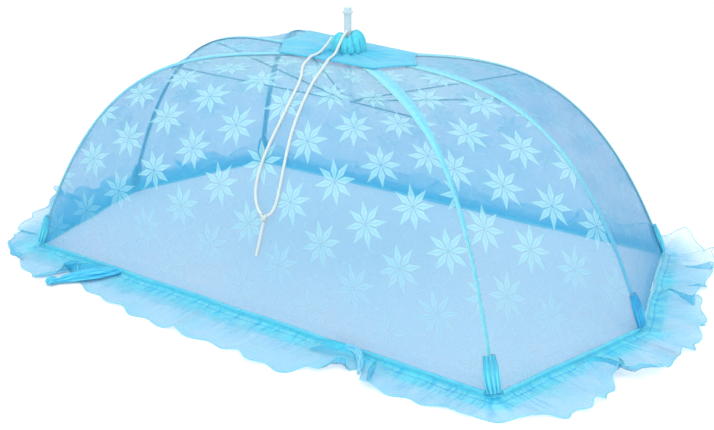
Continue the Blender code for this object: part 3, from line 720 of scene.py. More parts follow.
def woven_finish(name, deep, light, roughness=0.60, seam_away=0.0300, cover=0.96, through=0.5,
                 streak=26.0, long_streak=1.0, painted_light_side=0.0, foot=0.0):
    """Close woven cloth with thread grain, soft streaks and a row of stitches. long_streak above 1
    draws the streaks out along the cloth. The side argument paints a highlight where Across is below
    zero: one edge of a tape, or the ridges of pleats. foot paints shade, deeper toward the floor."""
    made, tree, shader, cut, place = new_finish(name, roughness, Sheen_Weight=0.35, Sheen_Roughness=0.4)
    shader.inputs["Specular IOR Level"].default_value = 0.3
    x, y, _ = cut.parts()
    over = placed(tree, weave, Cut=cut, Threads=THREADS)["Over"]
    seam = placed(tree, stitching, Across=x, Along=y, Away=seam_away, Pitch=STITCH_PITCH)
    if long_streak > 1.0:
        drift = cut.stretched((long_streak, 1.0, 1.0)).cloud(streak).ramp(0.33, 0.67)
    else:
        drift = place.cloud(streak, 4.0)
    # The side term is a painted highlight; the foot term below is painted shade.
    body = (drift * 0.75 + over * 0.25 + x.ramp(0.001, -0.004) * painted_light_side).mixed(deep, light)
    if foot:
        _, _, up = place.parts()
        body = (up.ramp(0.29, 0.11) * foot).mixed(body, deep)
    dented = (seam["Dent"] * 0.35).mixed(body, deep)
    seam["Stitch"].mixed(dented, light).feed(shader, "Base Color")
    lit_cover(tree, cover, through).feed(shader, "Alpha")
    height = over * 0.25 + seam["Dent"] * -0.6 + seam["Stitch"] * 0.7 + drift * 0.3
    height.raise_under(shader, 0.0005)
    return made


tape_cloth = woven_finish("tape_cloth", (0.04, 0.44, 0.75), (0.29, 0.77, 0.84), roughness=0.62,
                          seam_away=0.0042, cover=0.80, streak=140.0, painted_light_side=0.45)
# The right tape's copy is deeper, and darker toward the floor: painted shade on that end of the net.
shaded_end_tape_cloth = woven_finish("shaded_end_tape_cloth", (0.02, 0.40, 0.72), (0.30, 0.78, 0.82), roughness=0.62,
                              seam_away=0.0042, cover=0.82, streak=140.0, painted_light_side=0.45, foot=0.75)


def lean(f, a, bend):
    """The way out from a ridge on the side of a, and square to the cloth, bent toward the crest."""
    way, square = (f.left, f.normal_left) if a < 0 else (f.right, f.normal_right)
    return way, mix(square, f.crest, bend).normalized()


def unfolded(n, wide):
    """Place across a doubled piece of a point of its ring, the same on its outer and inner face."""
    n %= 2 * wide
    return n if n < wide else 2 * wide - 1 - n


def tape(i, rib):
    outer, inner = [], []
    for k in range(TAPE_ROWS + 1):
        down = k / TAPE_ROWS
        f = ridge_frame(i, down)
        pucker = 0.00018 * sin(2 * pi * down / TAPE_PUCKER) + 0.0004 * noise.noise(f.point * 30)
        spread, narrow = TAPE_SPREAD.get(rib.name, 1.08), TAPE_NARROW.get(rib.name, 0.85)
        width = TAPE_HALF * mix(spread, narrow, smooth((down - 0.20) / 0.42))
        low, high = [], []
        for a in TAPE_ACROSS:
            bend = max(0.0, 1.0 - abs(a) / 0.3)
            way, face = lean(f, a, bend)
            base = f.point + way * (abs(a) * (width + pucker * 1.6))
            lift = GAP + (f.mitre - 1) * 0.0006 * bend
            low.append(base + face * lift)
            high.append(base + face * (lift + TAPE_THICK + pucker * (1 - bend) + 0.0003 * abs(a) ** 4))
        outer.append(high)
        inner.append(low)
    rings = [high + low[::-1] for high, low in zip(outer, inner)]
    wide = len(TAPE_ACROSS)
    run = running_length([ring[wide // 2] for ring in rings])

    # Across is below zero on one edge of each tape, which the finish paints lighter: a painted highlight
    # along that edge.
    def cut(r, c):
        return TAPE_ACROSS[unfolded(c, wide)] * TAPE_HALF, run[r]

    cloth = shaded_end_tape_cloth if rib.name == "right" else tape_cloth
    piece = lofted("ribbon_" + rib.name, rings, cut, cloth)
    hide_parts("tape_" + rib.name)


for i, rib in enumerate(RIBS):
    tape(i, rib)


# ---- base binding ----
# The foot of each gore and the top of the skirt are rolled together into one bound hem. It is
# gathered along its length, and on the long sides it parts into two rolls that join again.
FOOT_WING = 0.0155        # how far a corner pad reaches along each side
WING_GAP = 0.0004         # between the pad and the binding
BIND_MID = -0.0020        # middle of the binding, from the foot line outward
BIND_HALF = 0.0031
BIND_TALL = 0.0048
BIND_SIDES = 20
BIND_STEP = 0.0022
BIND_PLEATS = 0.0061      # from one pleat to the next
BIND_CREASES = 0.0037
WANDER = 0.0016           # how far the seam strays from a straight line
BIND_LENGTHS = {"long": 14, "short": 6}
BIND_SQUARE = 0.75        # 1 makes a round roll, less a squarer one
ON_FLOOR = 0.00005        # least height of cloth that rests on the floor
SideLine = namedtuple("SideLine", "start way out length kind")


def side_line(i):
    """Foot of the side from rib i to the next: its start, its direction, the way out, its length."""
    start, end = (Vector((RIBS[n % 6].x, RIBS[n % 6].y, 0)) for n in (i, i + 1))
    span = end - start
    way = span.normalized()
    return SideLine(start, way, Vector((way.y, -way.x, 0)), span.length, KINDS[i])


LINES = [side_line(i) for i in range(6)]


def foot_line(i, t):
    """A place along side i's foot, and how far sewn cloth wanders outward there."""
    line = LINES[i]
    lengths = BIND_LENGTHS[line.kind]
    knot = min(max(int(t * lengths), 0), lengths - 1)
    ends = [0.0 if n < 2 or n > lengths - 2 else WANDER * sin(2.2 * n + i) for n in (knot, knot + 1)]
    return line.start + line.way * line.length * t, mix(*ends, smooth(t * lengths - knot))


def squared(angle, power):
    """Cosine and sine, each raised to a power below 1 that draws a circle out to a square."""
    return [abs(value) ** power * (1 if value > 0 else -1) for value in (cos(angle), sin(angle))]


binding_cloth = woven_finish("binding_cloth", (0.01, 0.50, 0.80), (0.20, 0.84, 0.92), cover=0.74,
                             streak=90.0)
far_binding_cloth = woven_finish("far_binding_cloth", (0.03, 0.52, 0.82), (0.24, 0.82, 0.93),
                                 cover=0.42, streak=90.0)
FAR_SIDES = ("right_back", "back", "left_back")


def binding(side, i):
    line = LINES[i]
    clear = FOOT_WING + WING_GAP
    count = round((line.length - 2 * clear) / BIND_STEP)
    rings = []
    for n in range(count + 1):
        at = mix(clear, line.length - clear, n / count)
        point, wander = foot_line(i, at / line.length)
        spot = Vector((at * 9 + i * 7.7, 0, 0))
        parted = smooth(0.5 + 1.6 * noise.noise(spot * 0.9)) if line.kind == "long" else 0.35
        swell = 1 + 0.10 * noise.noise(spot * 2.3)
        ends = smooth(min(at - clear, line.length - clear - at) / 0.006)
        groove_at = 0.25 * noise.noise(spot * 1.7 + Vector((0, 4, 0)))
        ring = []
        for a in angles_round(BIND_SIDES):
            out, up = squared(a, BIND_SQUARE)
            groove = parted * exp(-((up - groove_at) / 0.30) ** 2) * max(0.0, cos(a))
            pleat = 0.07 * sin(at * 2 * pi / BIND_PLEATS + 2.5 * up + 3 * noise.noise(spot * 3)) * ends
            pleat += 0.05 * sin(at * 2 * pi / BIND_CREASES - 4 * up)
            wide = BIND_HALF * (swell + pleat * 1.3) * (1 - 0.42 * groove) * out
            tall = BIND_TALL * min(1.02, swell + 0.4 * pleat) * up + BIND_TALL
            height = max(ON_FLOOR, tall) if up > -0.93 else ON_FLOOR
            ring.append(point + line.out * (BIND_MID + wander + wide) + Vector((0, 0, height)))
        rings.append(ring)
    around = 2 * pi * BIND_HALF * 1.3 / BIND_SIDES
    cloth = far_binding_cloth if side in FAR_SIDES else binding_cloth
    piece = lofted("hem_" + side, rings, lambda r, c: (c * around, r * BIND_STEP), cloth)
    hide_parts("binding_" + side)


for i, side in enumerate(SIDES):
    binding(side, i)


# ---- end pockets ----
# Each rib ends in a gathered sleeve, sewn over the tape with its pleats lengthwise and its raw top
# edge open. A stitched square of the same cloth wraps the corner under it and stands on the floor.
POCKET_TALL = 0.0735      # share of the rib's length that the sleeve covers
POCKET_HALF = 0.0112
POCKET_BULK = 0.0054
POCKET_LIFT = 0.0014
POCKET_CELLS = 44
POCKET_ROWS = 30
CORNER_R = 0.009          # round of the foot line at a corner
PAD_TALL = 0.0098
PAD_HALF = 0.0032
PAD_CUTS = 14
PAD_SIDES = 20
PAD_SQUARE = 0.55
PAD_TURN = 0.004          # where each wing of the pad starts to turn round the corner

gathered_cloth = woven_finish("gathered_cloth", (0.001, 0.26, 0.58), (0.14, 0.72, 0.82), roughness=0.58,
                              cover=0.97, streak=46.0, long_streak=8.0, painted_light_side=0.3)
# The right sleeve's copy is deeper: painted shade on that end of the net.
shaded_end_gathered_cloth = woven_finish("shaded_end_gathered_cloth", (0.001, 0.20, 0.52), (0.06, 0.50, 0.78),
                                  roughness=0.58, cover=0.97, streak=46.0, long_streak=8.0,
                                  painted_light_side=0.2)


def main_pleats(a, up, i):
    """Phase of a sleeve's pleats across it, which sway a little on the way up."""
    return 5.2 * pi * a + 0.9 * sin(3 * up + i) + i


def pocket(i, rib):
    outer, inner = [], []
    for k in range(POCKET_ROWS + 1):
        up = k / POCKET_ROWS
        high, low = [], []
        for n in range(POCKET_CELLS + 1):
            a = mix(-1.0, 1.0, n / POCKET_CELLS)
            ragged = 1 + 0.055 * noise.noise(Vector((a * 5.5, i * 4.0, 0))) * smooth(up * 2 - 0.6)
            f = ridge_frame(i, 1.0 - POCKET_TALL * up * ragged)
            width = POCKET_HALF * (0.94 + 0.12 * sin(pi * min(up * 1.1, 1.0)) - 0.16 * smooth(up * 2 - 1))
            way, face = lean(f, a, max(0.0, 1 - abs(a) * 1.6))
            base = f.point + way * (abs(a) * width)
            round_off = (1 - a ** 4) ** 0.5
            pleat = sin(main_pleats(a, up, i)) + 0.5 * sin(9.7 * pi * a + 2 * up + i)
            pleat *= 0.00125 * round_off * mix(0.7, 1.0, up)
            neck = mix(0.80, 1.0, smooth(up * 4)) * mix(1.0, 0.80, smooth(up * 3 - 2))
            high.append(base + face * (POCKET_LIFT + POCKET_BULK * round_off * neck + pleat))
            low.append(base + face * POCKET_LIFT)
        outer.append(high)
        inner.append(low)
    rings = [high + low[::-1] for high, low in zip(outer, inner)]
    wide = POCKET_CELLS + 1

    # Across follows the pleats, so the finish paints their ridges lighter: a painted highlight.
    def cut(r, c):
        a = mix(-1.0, 1.0, unfolded(c, wide) / POCKET_CELLS)
        return -0.0015 - 0.0030 * sin(main_pleats(a, r / POCKET_ROWS, i)), r * 0.0013

    cloth = shaded_end_gathered_cloth if rib.name == "right" else gathered_cloth
    sleeve = lofted("sleeve_" + rib.name, rings, cut, cloth, sharp=70)
    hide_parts("pocket_" + rib.name)


def corner_pad(i, rib):
    """The folded square that wraps the corner: two straight wings and a round between them."""
    before, after = LINES[i - 1], LINES[i]
    middle = (before.out + after.out).normalized()
    centre = after.start - middle * CORNER_R / middle.dot(after.out)
    path = []
    for n in range(PAD_CUTS + 1):
        back = mix(FOOT_WING, PAD_TURN, n / PAD_CUTS)
        path.append((after.start - before.way * back, before.out))
    for n in range(1, PAD_CUTS):
        out = before.out.slerp(after.out, n / PAD_CUTS)
        path.append((centre + out * CORNER_R, out))
    for n in range(PAD_CUTS + 1):
        path.append((after.start + after.way * mix(PAD_TURN, FOOT_WING, n / PAD_CUTS), after.out))
    rings = []
    for n, (point, out) in enumerate(path):
        share = n / (len(path) - 1)
        puff = sin(pi * share) ** 0.35
        ring = []
        for a in angles_round(PAD_SIDES):
            wide, up = squared(a, PAD_SQUARE)
            crease = 0.06 * sin(up * 9 + 1.3 * sin(share * 9))
            height = PAD_TALL * (0.5 + 0.5 * up) * mix(0.84, 1.0, puff)
            reach = BIND_MID + PAD_HALF * wide * mix(0.8, 1.05, puff) * (1 + crease)
            ring.append(point + out * reach + Vector((0, 0, max(height, ON_FLOOR))))
        rings.append(ring)
    pad = lofted("pad_" + rib.name, rings, lambda r, c: (c * 0.0011, r * 0.0009), gathered_cloth)


for i, rib in enumerate(RIBS):
    pocket(i, rib)
    corner_pad(i, rib)


# ---- floor skirt ----
# A ruffle of the same lace is gathered into the binding and lies loose on the floor all round. It
# flutes along its edge, is tucked and turned under in places, and has an overlocked edge.
SKIRT_REACH = 0.0014      # from the foot line out to the skirt's seam
SKIRT_STEP = 0.0042       # along the foot line
SKIRT_ROWS = 18
CORNER_STEPS = 9
RUFFLED = 1.12            # cloth for each metre of foot line
EDGE_R = 0.00075          # the overlocked thread round the skirt's edge
EDGE_LIFT = 0.0004
EDGE_SIDES = 6
SEAM_DIP = (-0.0019, 0.0052)    # the skirt's first row, out from its seam and up into the binding
TURNED_BACK = 0.92        # share of a turned edge that lies back over the skirt
TURNED_LIFT = 0.0045
SEAM_GATHERS = 0.0105     # from one fine gather at the seam to the next
UP = Vector((0, 0, 1))
ROUND = sum(line.length for line in LINES)


def side_run(side, share):
    """Metres round the foot line from the front left rib."""
    i = SIDES.index(side)
    before = [LINES[n].length for n in range(-1, i)] if side != "front" else []
    return sum(before) + share * LINES[i].length


def gap_round(run, place):
    """Signed distance round the foot line from a place to a run."""
    return (run - place + ROUND / 2) % ROUND - ROUND / 2


def round_the_foot(kind, table):
    """Rows of a table by side, with the share of the side that each starts with made metres."""
    return [kind(side_run(side, share), *rest) for side, rows in table.items() for share, *rest in rows]


# Width, height of the ruffles and waves in each metre.
Place = namedtuple("Place", "run width lift waves")
PLACES = round_the_foot(Place, {
    "front": ((0.00, 0.064, 0.006, 9), (0.07, 0.082, 0.005, 9), (0.13, 0.099, 0.006, 8),
              (0.20, 0.070, 0.004, 8), (0.28, 0.084, 0.003, 7), (0.40, 0.099, 0.003, 7),
              (0.57, 0.097, 0.004, 7), (0.672, 0.106, 0.005, 8), (0.703, 0.097, 0.005, 8),
              (0.730, 0.071, 0.004, 9), (0.768, 0.059, 0.003, 9), (0.790, 0.033, 0.002, 9),
              (0.822, 0.071, 0.003, 8), (0.90, 0.063, 0.003, 8)),
    "right_front": ((0.00, 0.052, 0.004, 9), (0.14, 0.084, 0.005, 11), (0.26, 0.092, 0.006, 12),
                    (0.40, 0.086, 0.008, 12), (0.55, 0.062, 0.010, 13), (0.64, 0.098, 0.009, 13),
                    (0.82, 0.084, 0.010, 13)),
    "right_back": ((0.00, 0.080, 0.011, 13), (0.22, 0.082, 0.013, 13), (0.42, 0.060, 0.014, 13),
                   (0.72, 0.080, 0.017, 12)),
    "back": ((0.00, 0.082, 0.018, 12), (0.12, 0.098, 0.012, 11), (0.30, 0.086, 0.009, 10),
             (0.48, 0.098, 0.009, 10), (0.66, 0.104, 0.010, 10), (0.84, 0.090, 0.011, 11)),
    "left_back": ((0.00, 0.074, 0.013, 12), (0.35, 0.084, 0.013, 12), (0.70, 0.074, 0.012, 12)),
    "left_front": ((0.00, 0.078, 0.012, 12), (0.40, 0.090, 0.012, 12), (0.75, 0.082, 0.009, 11)),
})
PLACES.append(PLACES[0]._replace(run=PLACES[0].run + ROUND))
# Raised pleats: how far the crest drifts along the side on its way out, height, half width, how
# fast it rises from the seam, and the share of its height that it loses by the edge.
Pleat = namedtuple("Pleat", "run drift height spread rise fall")
PLEATS = round_the_foot(Pleat, {
    "front": ((0.225, -0.085, 0.017, 0.016, 2.2, 0.0), (0.728, 0.026, 0.024, 0.034, 7.0, 0.9),
              (0.812, 0.012, 0.010, 0.014, 2.2, 0.2)),
    "right_front": ((0.52, 0.030, 0.016, 0.016, 3.0, 0.3),),
    "right_back": ((0.45, -0.030, 0.016, 0.016, 2.2, 0.0),),
    "left_front": ((0.52, 0.0, 0.036, 0.036, 2.2, 0.0),),
})
# Tucks, where the cloth doubles back over itself: drift, overlap at the edge, half width.
Tuck = namedtuple("Tuck", "run drift overlap spread")
TUCKS = round_the_foot(Tuck, {
    "front": ((0.205, -0.060, 1.9, 0.015), (0.795, 0.034, 2.4, 0.011), (0.45, 0.010, 0.8, 0.020)),
    "right_front": ((0.53, 0.025, 2.2, 0.012), (0.90, 0.000, 1.6, 0.014)),
    "right_back": ((0.46, -0.020, 2.2, 0.013), (0.86, 0.010, 1.8, 0.014)),
    "back": ((0.22, 0.000, 1.7, 0.018), (0.56, 0.012, 1.9, 0.016), (0.80, -0.010, 1.6, 0.018)),
    "left_back": ((0.50, 0.010, 1.9, 0.016),),
    "left_front": ((0.30, 0.000, 1.8, 0.015), (0.88, -0.010, 1.7, 0.014)),
})
# Stretches whose outer edge is turned back over the skirt: half length, how far back.
Turned = namedtuple("Turned", "run half back")
TURNED_EDGES = round_the_foot(Turned, {
    "front": ((0.155, 0.042, 0.022), (0.762, 0.016, 0.010), (0.015, 0.030, 0.010)),
    "right_front": ((0.62, 0.030, 0.012),),
    "back": ((0.40, 0.050, 0.018),),
    "left_front": ((0.55, 0.040, 0.015),),
})


def skirt_at(run):
    """Width, ruffle height and waves a metre at a point of the foot line."""
    run %= ROUND
    for before, after in zip(PLACES, PLACES[1:]):
        if before.run <= run <= after.run:
            t = smooth((run - before.run) / (after.run - before.run))
            return [mix(before[n], after[n], t) for n in (1, 2, 3)]
    return PLACES[0][1:]


def skirt_stations():
    """Points of the skirt's inner edge, the way out there, and metres round the foot line."""
    stations = []
    for side in ("front", *SIDES[:5]):
        i = SIDES.index(side)
        line, after = LINES[i], LINES[(i + 1) % 6]
        clears = [CORNER_R * tan(a.out.angle(b.out) / 2) / line.length
                  for a, b in ((LINES[i - 1], line), (line, after))]
        count = round(line.length / SKIRT_STEP)
        for n in range(count + 1):
            t = mix(clears[0], 1 - clears[1], n / count)
            point, wander = foot_line(i, t)
            stations.append((point + line.out * (SKIRT_REACH + wander), line.out, side_run(side, t)))
        setback = CORNER_R * tan(line.out.angle(after.out) / 2)
        middle = (line.out + after.out).normalized()
        centre = after.start - middle * hypot(CORNER_R, setback)
        for n in range(1, CORNER_STEPS):
            out = line.out.slerp(after.out, n / CORNER_STEPS)
            along = side_run(side, 1) + setback * mix(-0.9, 0.9, n / CORNER_STEPS)
            stations.append((centre + out * (CORNER_R + SKIRT_REACH), out, along))
    return stations


# The gather lines of the ruffle carry painted shade.
skirt_lace = lace_finish("skirt_lace", (0.003, 0.38, 0.72), (0.050, 0.57, 0.80), (0.28, 0.78, 0.84),
                         clear=0.48, clouding=16.0, hemmed=0.0, gathers=0.8)
tuft_cloth = woven_finish("tuft_cloth", (0.0, 0.36, 0.72), (0.12, 0.70, 0.86), cover=0.90,
                          streak=46.0, long_streak=6.0)
twist_cloth = woven_finish("twist_cloth", (0.01, 0.46, 0.80), (0.42, 0.84, 0.90), cover=0.66,
                           streak=60.0, long_streak=6.0)
edge_thread = woven_finish("edge_thread", (0.06, 0.58, 0.80), (0.34, 0.84, 0.88), roughness=0.66,
                           cover=0.62)


# Two rolls of twisted skirt cloth: share of the front side, way out from it, height, half width.
ROLL_CUTS = 8
ROLL_SIDES = 48
ROLLS = {
    "skirt_tuft": ((0.2150, -0.004, 0.0040, 0.0150), (0.2105, 0.012, 0.0055, 0.0180),
                   (0.2015, 0.034, 0.0072, 0.0175), (0.1890, 0.056, 0.0074, 0.0142),
                   (0.1770, 0.075, 0.0066, 0.0098), (0.1690, 0.087, 0.0052, 0.0060),
                   (0.1650, 0.093, 0.0070, 0.0092), (0.1610, 0.099, 0.0070, 0.0090),
                   (0.1590, 0.104, 0.0045, 0.0040)),
    "skirt_twist": ((0.690, 0.030, 0.003, 0.0020), (0.712, 0.024, 0.008, 0.0045),
                    (0.735, 0.017, 0.013, 0.0060), (0.755, 0.012, 0.016, 0.0066),
                    (0.769, 0.014, 0.014, 0.0058), (0.779, 0.021, 0.011, 0.0050),
                    (0.788, 0.031, 0.008, 0.0042), (0.794, 0.041, 0.0055, 0.0032),
                    (0.798, 0.049, 0.003, 0.0018)),
}


def skirt_roll(name, cloth, turns):
    """A roll of cloth along its table's points, with folds that turn about it on the way."""
    line = LINES[-1]
    knots = [Vector((share * line.length, out, height, half)) for share, out, height, half in ROLLS[name]]
    fine = []
    for before, a, b, after in zip([knots[0]] + knots, knots, knots[1:], knots[2:] + [knots[-1]]):
        for t in (step / ROLL_CUTS for step in range(ROLL_CUTS)):
            bend = (b - before) * (t - 2 * t ** 2 + t ** 3) + (after - a) * (t ** 3 - t ** 2)
            fine.append(a * (1 - smooth(t)) + b * smooth(t) + bend * 0.5)
    fine.append(knots[-1])
    spots = [line.start + line.way * k[0] + line.out * k[1] + UP * k[2] for k in fine]
    rings = []
    for n, (point, knot) in enumerate(zip(spots, fine)):
        along = direction_at(spots, n)
        side = UP.cross(along).normalized()
        up = along.cross(side)
        tall = min(0.62 * knot[3], knot[2])
        ring = []
        for a in angles_round(ROLL_SIDES):
            fold = 1 + 0.10 * sin(7 * a + turns * n * 0.12) + 0.06 * sin(15 * a - n * 0.11)
            spot = point + (side * (cos(a) * knot[3]) + up * (sin(a) * tall)) * fold
            spot.z = max(0.0006, spot.z)
            ring.append(spot)
        rings.append(ring)
    return lofted(name, rings, lambda r, c: (c * 0.0011, r * 0.0022), cloth, sharp=70)


def turned_back(run):
    """How much of the skirt's outer edge is turned back there."""
    return max(edge.back * smooth(1.6 - 1.6 * abs(gap_round(run, edge.run) / edge.half))
               for edge in TURNED_EDGES)


def skirt_spot(station, shape, turn, back, w):
    """A point of the skirt: w is 0 at its seam and 1 at its edge, turn the phase of its waves."""
    (point, out, run), (width, lift, _) = station, shape
    away, height = w * width, 0.0
    if away > width - back:
        over = away - (width - back)
        away = (width - back) - over * TURNED_BACK
        height = 0.0012 + TURNED_LIFT * (1 - exp(-over / 0.004))
    if w == 0:
        away, height = SEAM_DIP
    v = max(0.0, away / width)
    height += lift * v ** 1.15 * (0.62 + 0.7 * sin(turn - 0.9 * v) + 0.25 * sin(0.43 * turn + 2))
    for pleat in PLEATS:
        gap = gap_round(run, pleat.run) - pleat.drift * v
        crest = pleat.height * smooth(v * pleat.rise) * (1 - pleat.fall * v)
        height += crest / (1 + (gap / pleat.spread) ** 4)
    shift = 0.0
    for tuck in TUCKS:
        gap = gap_round(run, tuck.run) - tuck.drift * v
        if abs(gap) < 4 * tuck.spread:
            bell = exp(-(gap / tuck.spread) ** 2)
            shift -= tuck.overlap * gap * bell * smooth(v * 1.3)
            height += (0.0022 + 0.0022 * gap / tuck.spread) * bell * smooth(v * 3)
    fan = 0.0006 * exp(-away / 0.02) * sin(2 * pi * run / SEAM_GATHERS + 2 * sin(run * 23))
    flute = 0.0016 * v ** 2 * noise.noise(Vector((run * 42, v * 1.5, 3.0)))
    edge_wave = 1 + 0.05 * sin(2.3 * turn) * v + 0.03 * noise.noise(Vector((run * 25, 0, 8))) * v
    shift += 0.004 * v * noise.noise(Vector((run * 18, v * 2, 5)))
    spot = point + out * away * edge_wave + Vector((-out.y, out.x, 0)) * shift
    spot.z = max(0.0005, height - 0.0008 + fan + flute)
    return spot


def skirt():
    stations = skirt_stations()
    total = len(stations)
    shapes = [skirt_at(run) for _, _, run in stations]
    phase, phases, reach = 0.0, [], []
    for (point, out, _), (width, _, waves) in zip(stations, shapes):
        reach.append(point + out * width)
        phase += (reach[-1] - reach[max(len(reach) - 2, 0)]).length * waves * 2 * pi
        phases.append(phase)
    spare = phases[-1] % (2 * pi)
    shares = [r / SKIRT_ROWS for r in range(SKIRT_ROWS + 1)]
    columns = []
    for n, station in enumerate(stations):
        turn, back = phases[n] - spare * n / (total - 1), turned_back(station[2])
        columns.append([skirt_spot(station, shapes[n], turn, back, w) for w in shares])
    rows = [list(row) for row in zip(*columns)]

    def cut(r, c):
        run, width = stations[c % total][2], shapes[c % total][0]
        return (run + (ROUND if c == total else 0.0)) * RUFFLED, shares[r] * width + 0.02

    piece = lofted("lace_skirt", rows, cut, skirt_lace, ends="open", sharp=180)
    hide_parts("skirt")
    edge = rows[-1]
    rings = []
    for n, point in enumerate(edge):
        along = direction_at(edge, n, closed=True)
        side = UP.cross(along).normalized()
        thick = EDGE_R * (1 + 0.12 * sin(n * 2.2))
        rings.append([spot + UP * EDGE_LIFT for spot in
                      circle(point, side, along.cross(side), thick, EDGE_SIDES)])
    lock = lofted("skirt_edge", rings, lambda r, c: (c * 0.0008, r * SKIRT_STEP), edge_thread,
                  ends="joined", sharp=180)
    rolls = [skirt_roll("skirt_tuft", tuft_cloth, 1.0), skirt_roll("skirt_twist", twist_cloth, 1.6)]
    mean = sum(width for width, _, _ in shapes) / total
    outer = sum((a - b).length for a, b in zip(reach, reach[1:]))


skirt()


# ---- top patch ----
# Six ribs' cloth ends are covered by a doubled piece of plain cloth, cut to a long hexagon whose
# corners lie on the tapes. It is hemmed and sewn down, and puckers toward the cap.
PATCH_REACH = (0.205, 0.25, 0.205, 0.36, 0.26, 0.205)  # share of each rib's way to the floor
PATCH_HOLE = 0.022
PATCH_LIFT = 0.0021
PATCH_THICK = 0.0010
PATCH_HEM = 0.0040        # from its edge in to the row of stitches
HEM_RISE = 0.0006
PATCH_ROWS = 22
PATCH_CELLS = {"long": 30, "short": 16}


def skin_height(x, y):
    """Height of the unsagged skin over a point of the plan, near the hub."""
    for i, rib in enumerate(RIBS):
        other = RIBS[(i + 1) % 6]
        area = rib.x * other.y - rib.y * other.x
        a = (x * other.y - y * other.x) / area
        b = (rib.x * y - rib.y * x) / area
        if a >= -1e-9 and b >= -1e-9:
            return mix(skin(rib, a + b).z, skin(other, a + b).z, b / (a + b))
    return HUB_RISE


patch_cloth = woven_finish("patch_cloth", (0.004, 0.35, 0.68), (0.12, 0.64, 0.76), roughness=0.62,
                           seam_away=PATCH_HEM, cover=0.90, streak=34.0)


def patch_outline():
    """The patch's corners, and all round it the ways out from its middle with its edge there."""
    corners = [Vector((rib.x * share, rib.y * share)) for rib, share in zip(RIBS, PATCH_REACH)]
    ways, rims = [], []
    for i, kind in enumerate(KINDS):
        a, b = corners[i], corners[(i + 1) % 6]
        cells = PATCH_CELLS[kind]
        turn = atan2(a.y, a.x)
        swing = (atan2(b.y, b.x) - turn) % (2 * pi)
        for n in range(cells):
            share = n / cells
            inward = 1 - 0.025 * sin(pi * share)
            rims.append(a.lerp(b, share) * inward)
            ways.append(Vector((cos(turn + swing * share), sin(turn + swing * share))))
    return corners, ways, rims


def patch_point(way, rim, share):
    """Its upper face, its lower face and the distance to its edge, at a share of the way out."""
    p = (way * PATCH_HOLE).lerp(rim, share)
    left = (rim - p).length
    turn = atan2(p.y, p.x)
    base = skin_height(p.x, p.y) + PATCH_LIFT
    pucker = 0.0022 * (1 - share) ** 1.5 * (sin(17 * turn + 2 * sin(3 * turn)) + 1)
    uneven = noise.noise(Vector((p.x * 22, p.y * 30, 1))) + 0.5
    pucker += 0.0016 * uneven * smooth(6 - 6 * share)
    hem = HEM_RISE * smooth(1 - abs(left - PATCH_HEM) / PATCH_HEM)
    high = base + PATCH_THICK + HEM_RISE + pucker + hem
    return Vector((p.x, p.y, high)), Vector((p.x, p.y, base)), left


def patch():
    corners, ways, rims = patch_outline()
    grid = [[patch_point(way, rim, r / PATCH_ROWS) for way, rim in zip(ways, rims)]
            for r in range(PATCH_ROWS + 1)]
    top, low, run = ([[spot[k] for spot in row] for row in grid] for k in range(3))
    rings = top + low[::-1]
    count = len(rims)

    def cut(r, c):
        return run[unfolded(r, PATCH_ROWS + 1)][c % count], 0.0021 * c

    piece = lofted("crown_patch", rings, cut, patch_cloth, ends="joined", sharp=60)
    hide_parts("top_patch")
    width, depth = (max(c[k] for c in corners) - min(c[k] for c in corners) for k in (0, 1))
    area = sum(a.x * b.y - b.x * a.y for a, b in zip(corners, corners[1:] + corners[:1])) / 2


patch()


# ---- gathered cap ----
# The top of the cloth is drawn together round the rod. It stands in two soft lobes with deep pleats
# and a dip between them, where the cord comes out.
CAP_R = 0.0275
CAP_LOW = 0.3590
CAP_HOLE = 0.0078
CAP_AROUND = 168
CAP_CUTS = 4
LOBE_TURN = radians(35.6)
LOBE_TOP = (0.3965, 0.3915)     # right lobe and left lobe
DIP_TOP = 0.3850
HOLE_HEIGHTS = (0.3790, 0.3700, CAP_LOW + 0.0004)
HOLE_RISES = (0.9, 0.5, 0.0)    # the same rings, as shares of the crest
PLEATS_ROUND = 6.5              # waves round the cap, each with two pleats
PLEAT_DEEP = 0.0050
PLEAT_MIDDLE = 1.05             # of what cap_crease gives
# Radius as a share of CAP_R, height as a share of the crest, depth of the pleats.
CAP_RINGS = ((0.93, 0.0, 0.5), (1.02, 0.10, 0.9), (1.04, 0.24, 1.0), (1.02, 0.42, 1.0),
             (0.97, 0.60, 1.0), (0.88, 0.76, 0.95), (0.76, 0.89, 0.8), (0.62, 0.97, 0.7),
             (0.48, 1.00, 0.6), (0.38, 0.97, 0.5), (0.32, 0.90, 0.3))

cap_cloth = woven_finish("cap_cloth", (0.0, 0.22, 0.46), (0.10, 0.68, 0.78), cover=1.0, through=0.0,
                         streak=90.0, painted_light_side=0.22)


def cap_crease(rise, n):
    """0 in the bottom of a pleat, about 1.4 on its ridge."""
    angle = 2 * pi * n / CAP_AROUND
    sway = 0.5 * sin(2 * angle + 1) + 1.1 * rise
    fine = abs(sin(2 * PLEATS_ROUND * angle - 1.7 * sway)) ** 0.7
    return abs(sin(PLEATS_ROUND * angle + sway)) ** 0.6 + 0.45 * fine


def cap_point(share, rise, depth, n):
    angle = 2 * pi * n / CAP_AROUND
    facing = cos(angle - LOBE_TURN)
    crest = DIP_TOP + (LOBE_TOP[0] - DIP_TOP) * max(0.0, facing) ** 0.7
    crest += (LOBE_TOP[1] - DIP_TOP) * max(0.0, -facing) ** 0.7
    crease = cap_crease(rise, n)
    fold = PLEAT_DEEP * depth * (crease - PLEAT_MIDDLE) * (1 - 0.35 * max(0.0, 1 - 4 * abs(facing)))
    radius = CAP_R * share * (1 + 0.04 * facing) + fold * share
    lump = 0.0010 * noise.noise(Vector((angle * 2.2, rise * 3, 7))) * rise
    height = mix(CAP_LOW, crest, rise) + lump + 0.0012 * depth * rise * (crease - PLEAT_MIDDLE)
    return Vector((radius * cos(angle), radius * sin(angle), height))


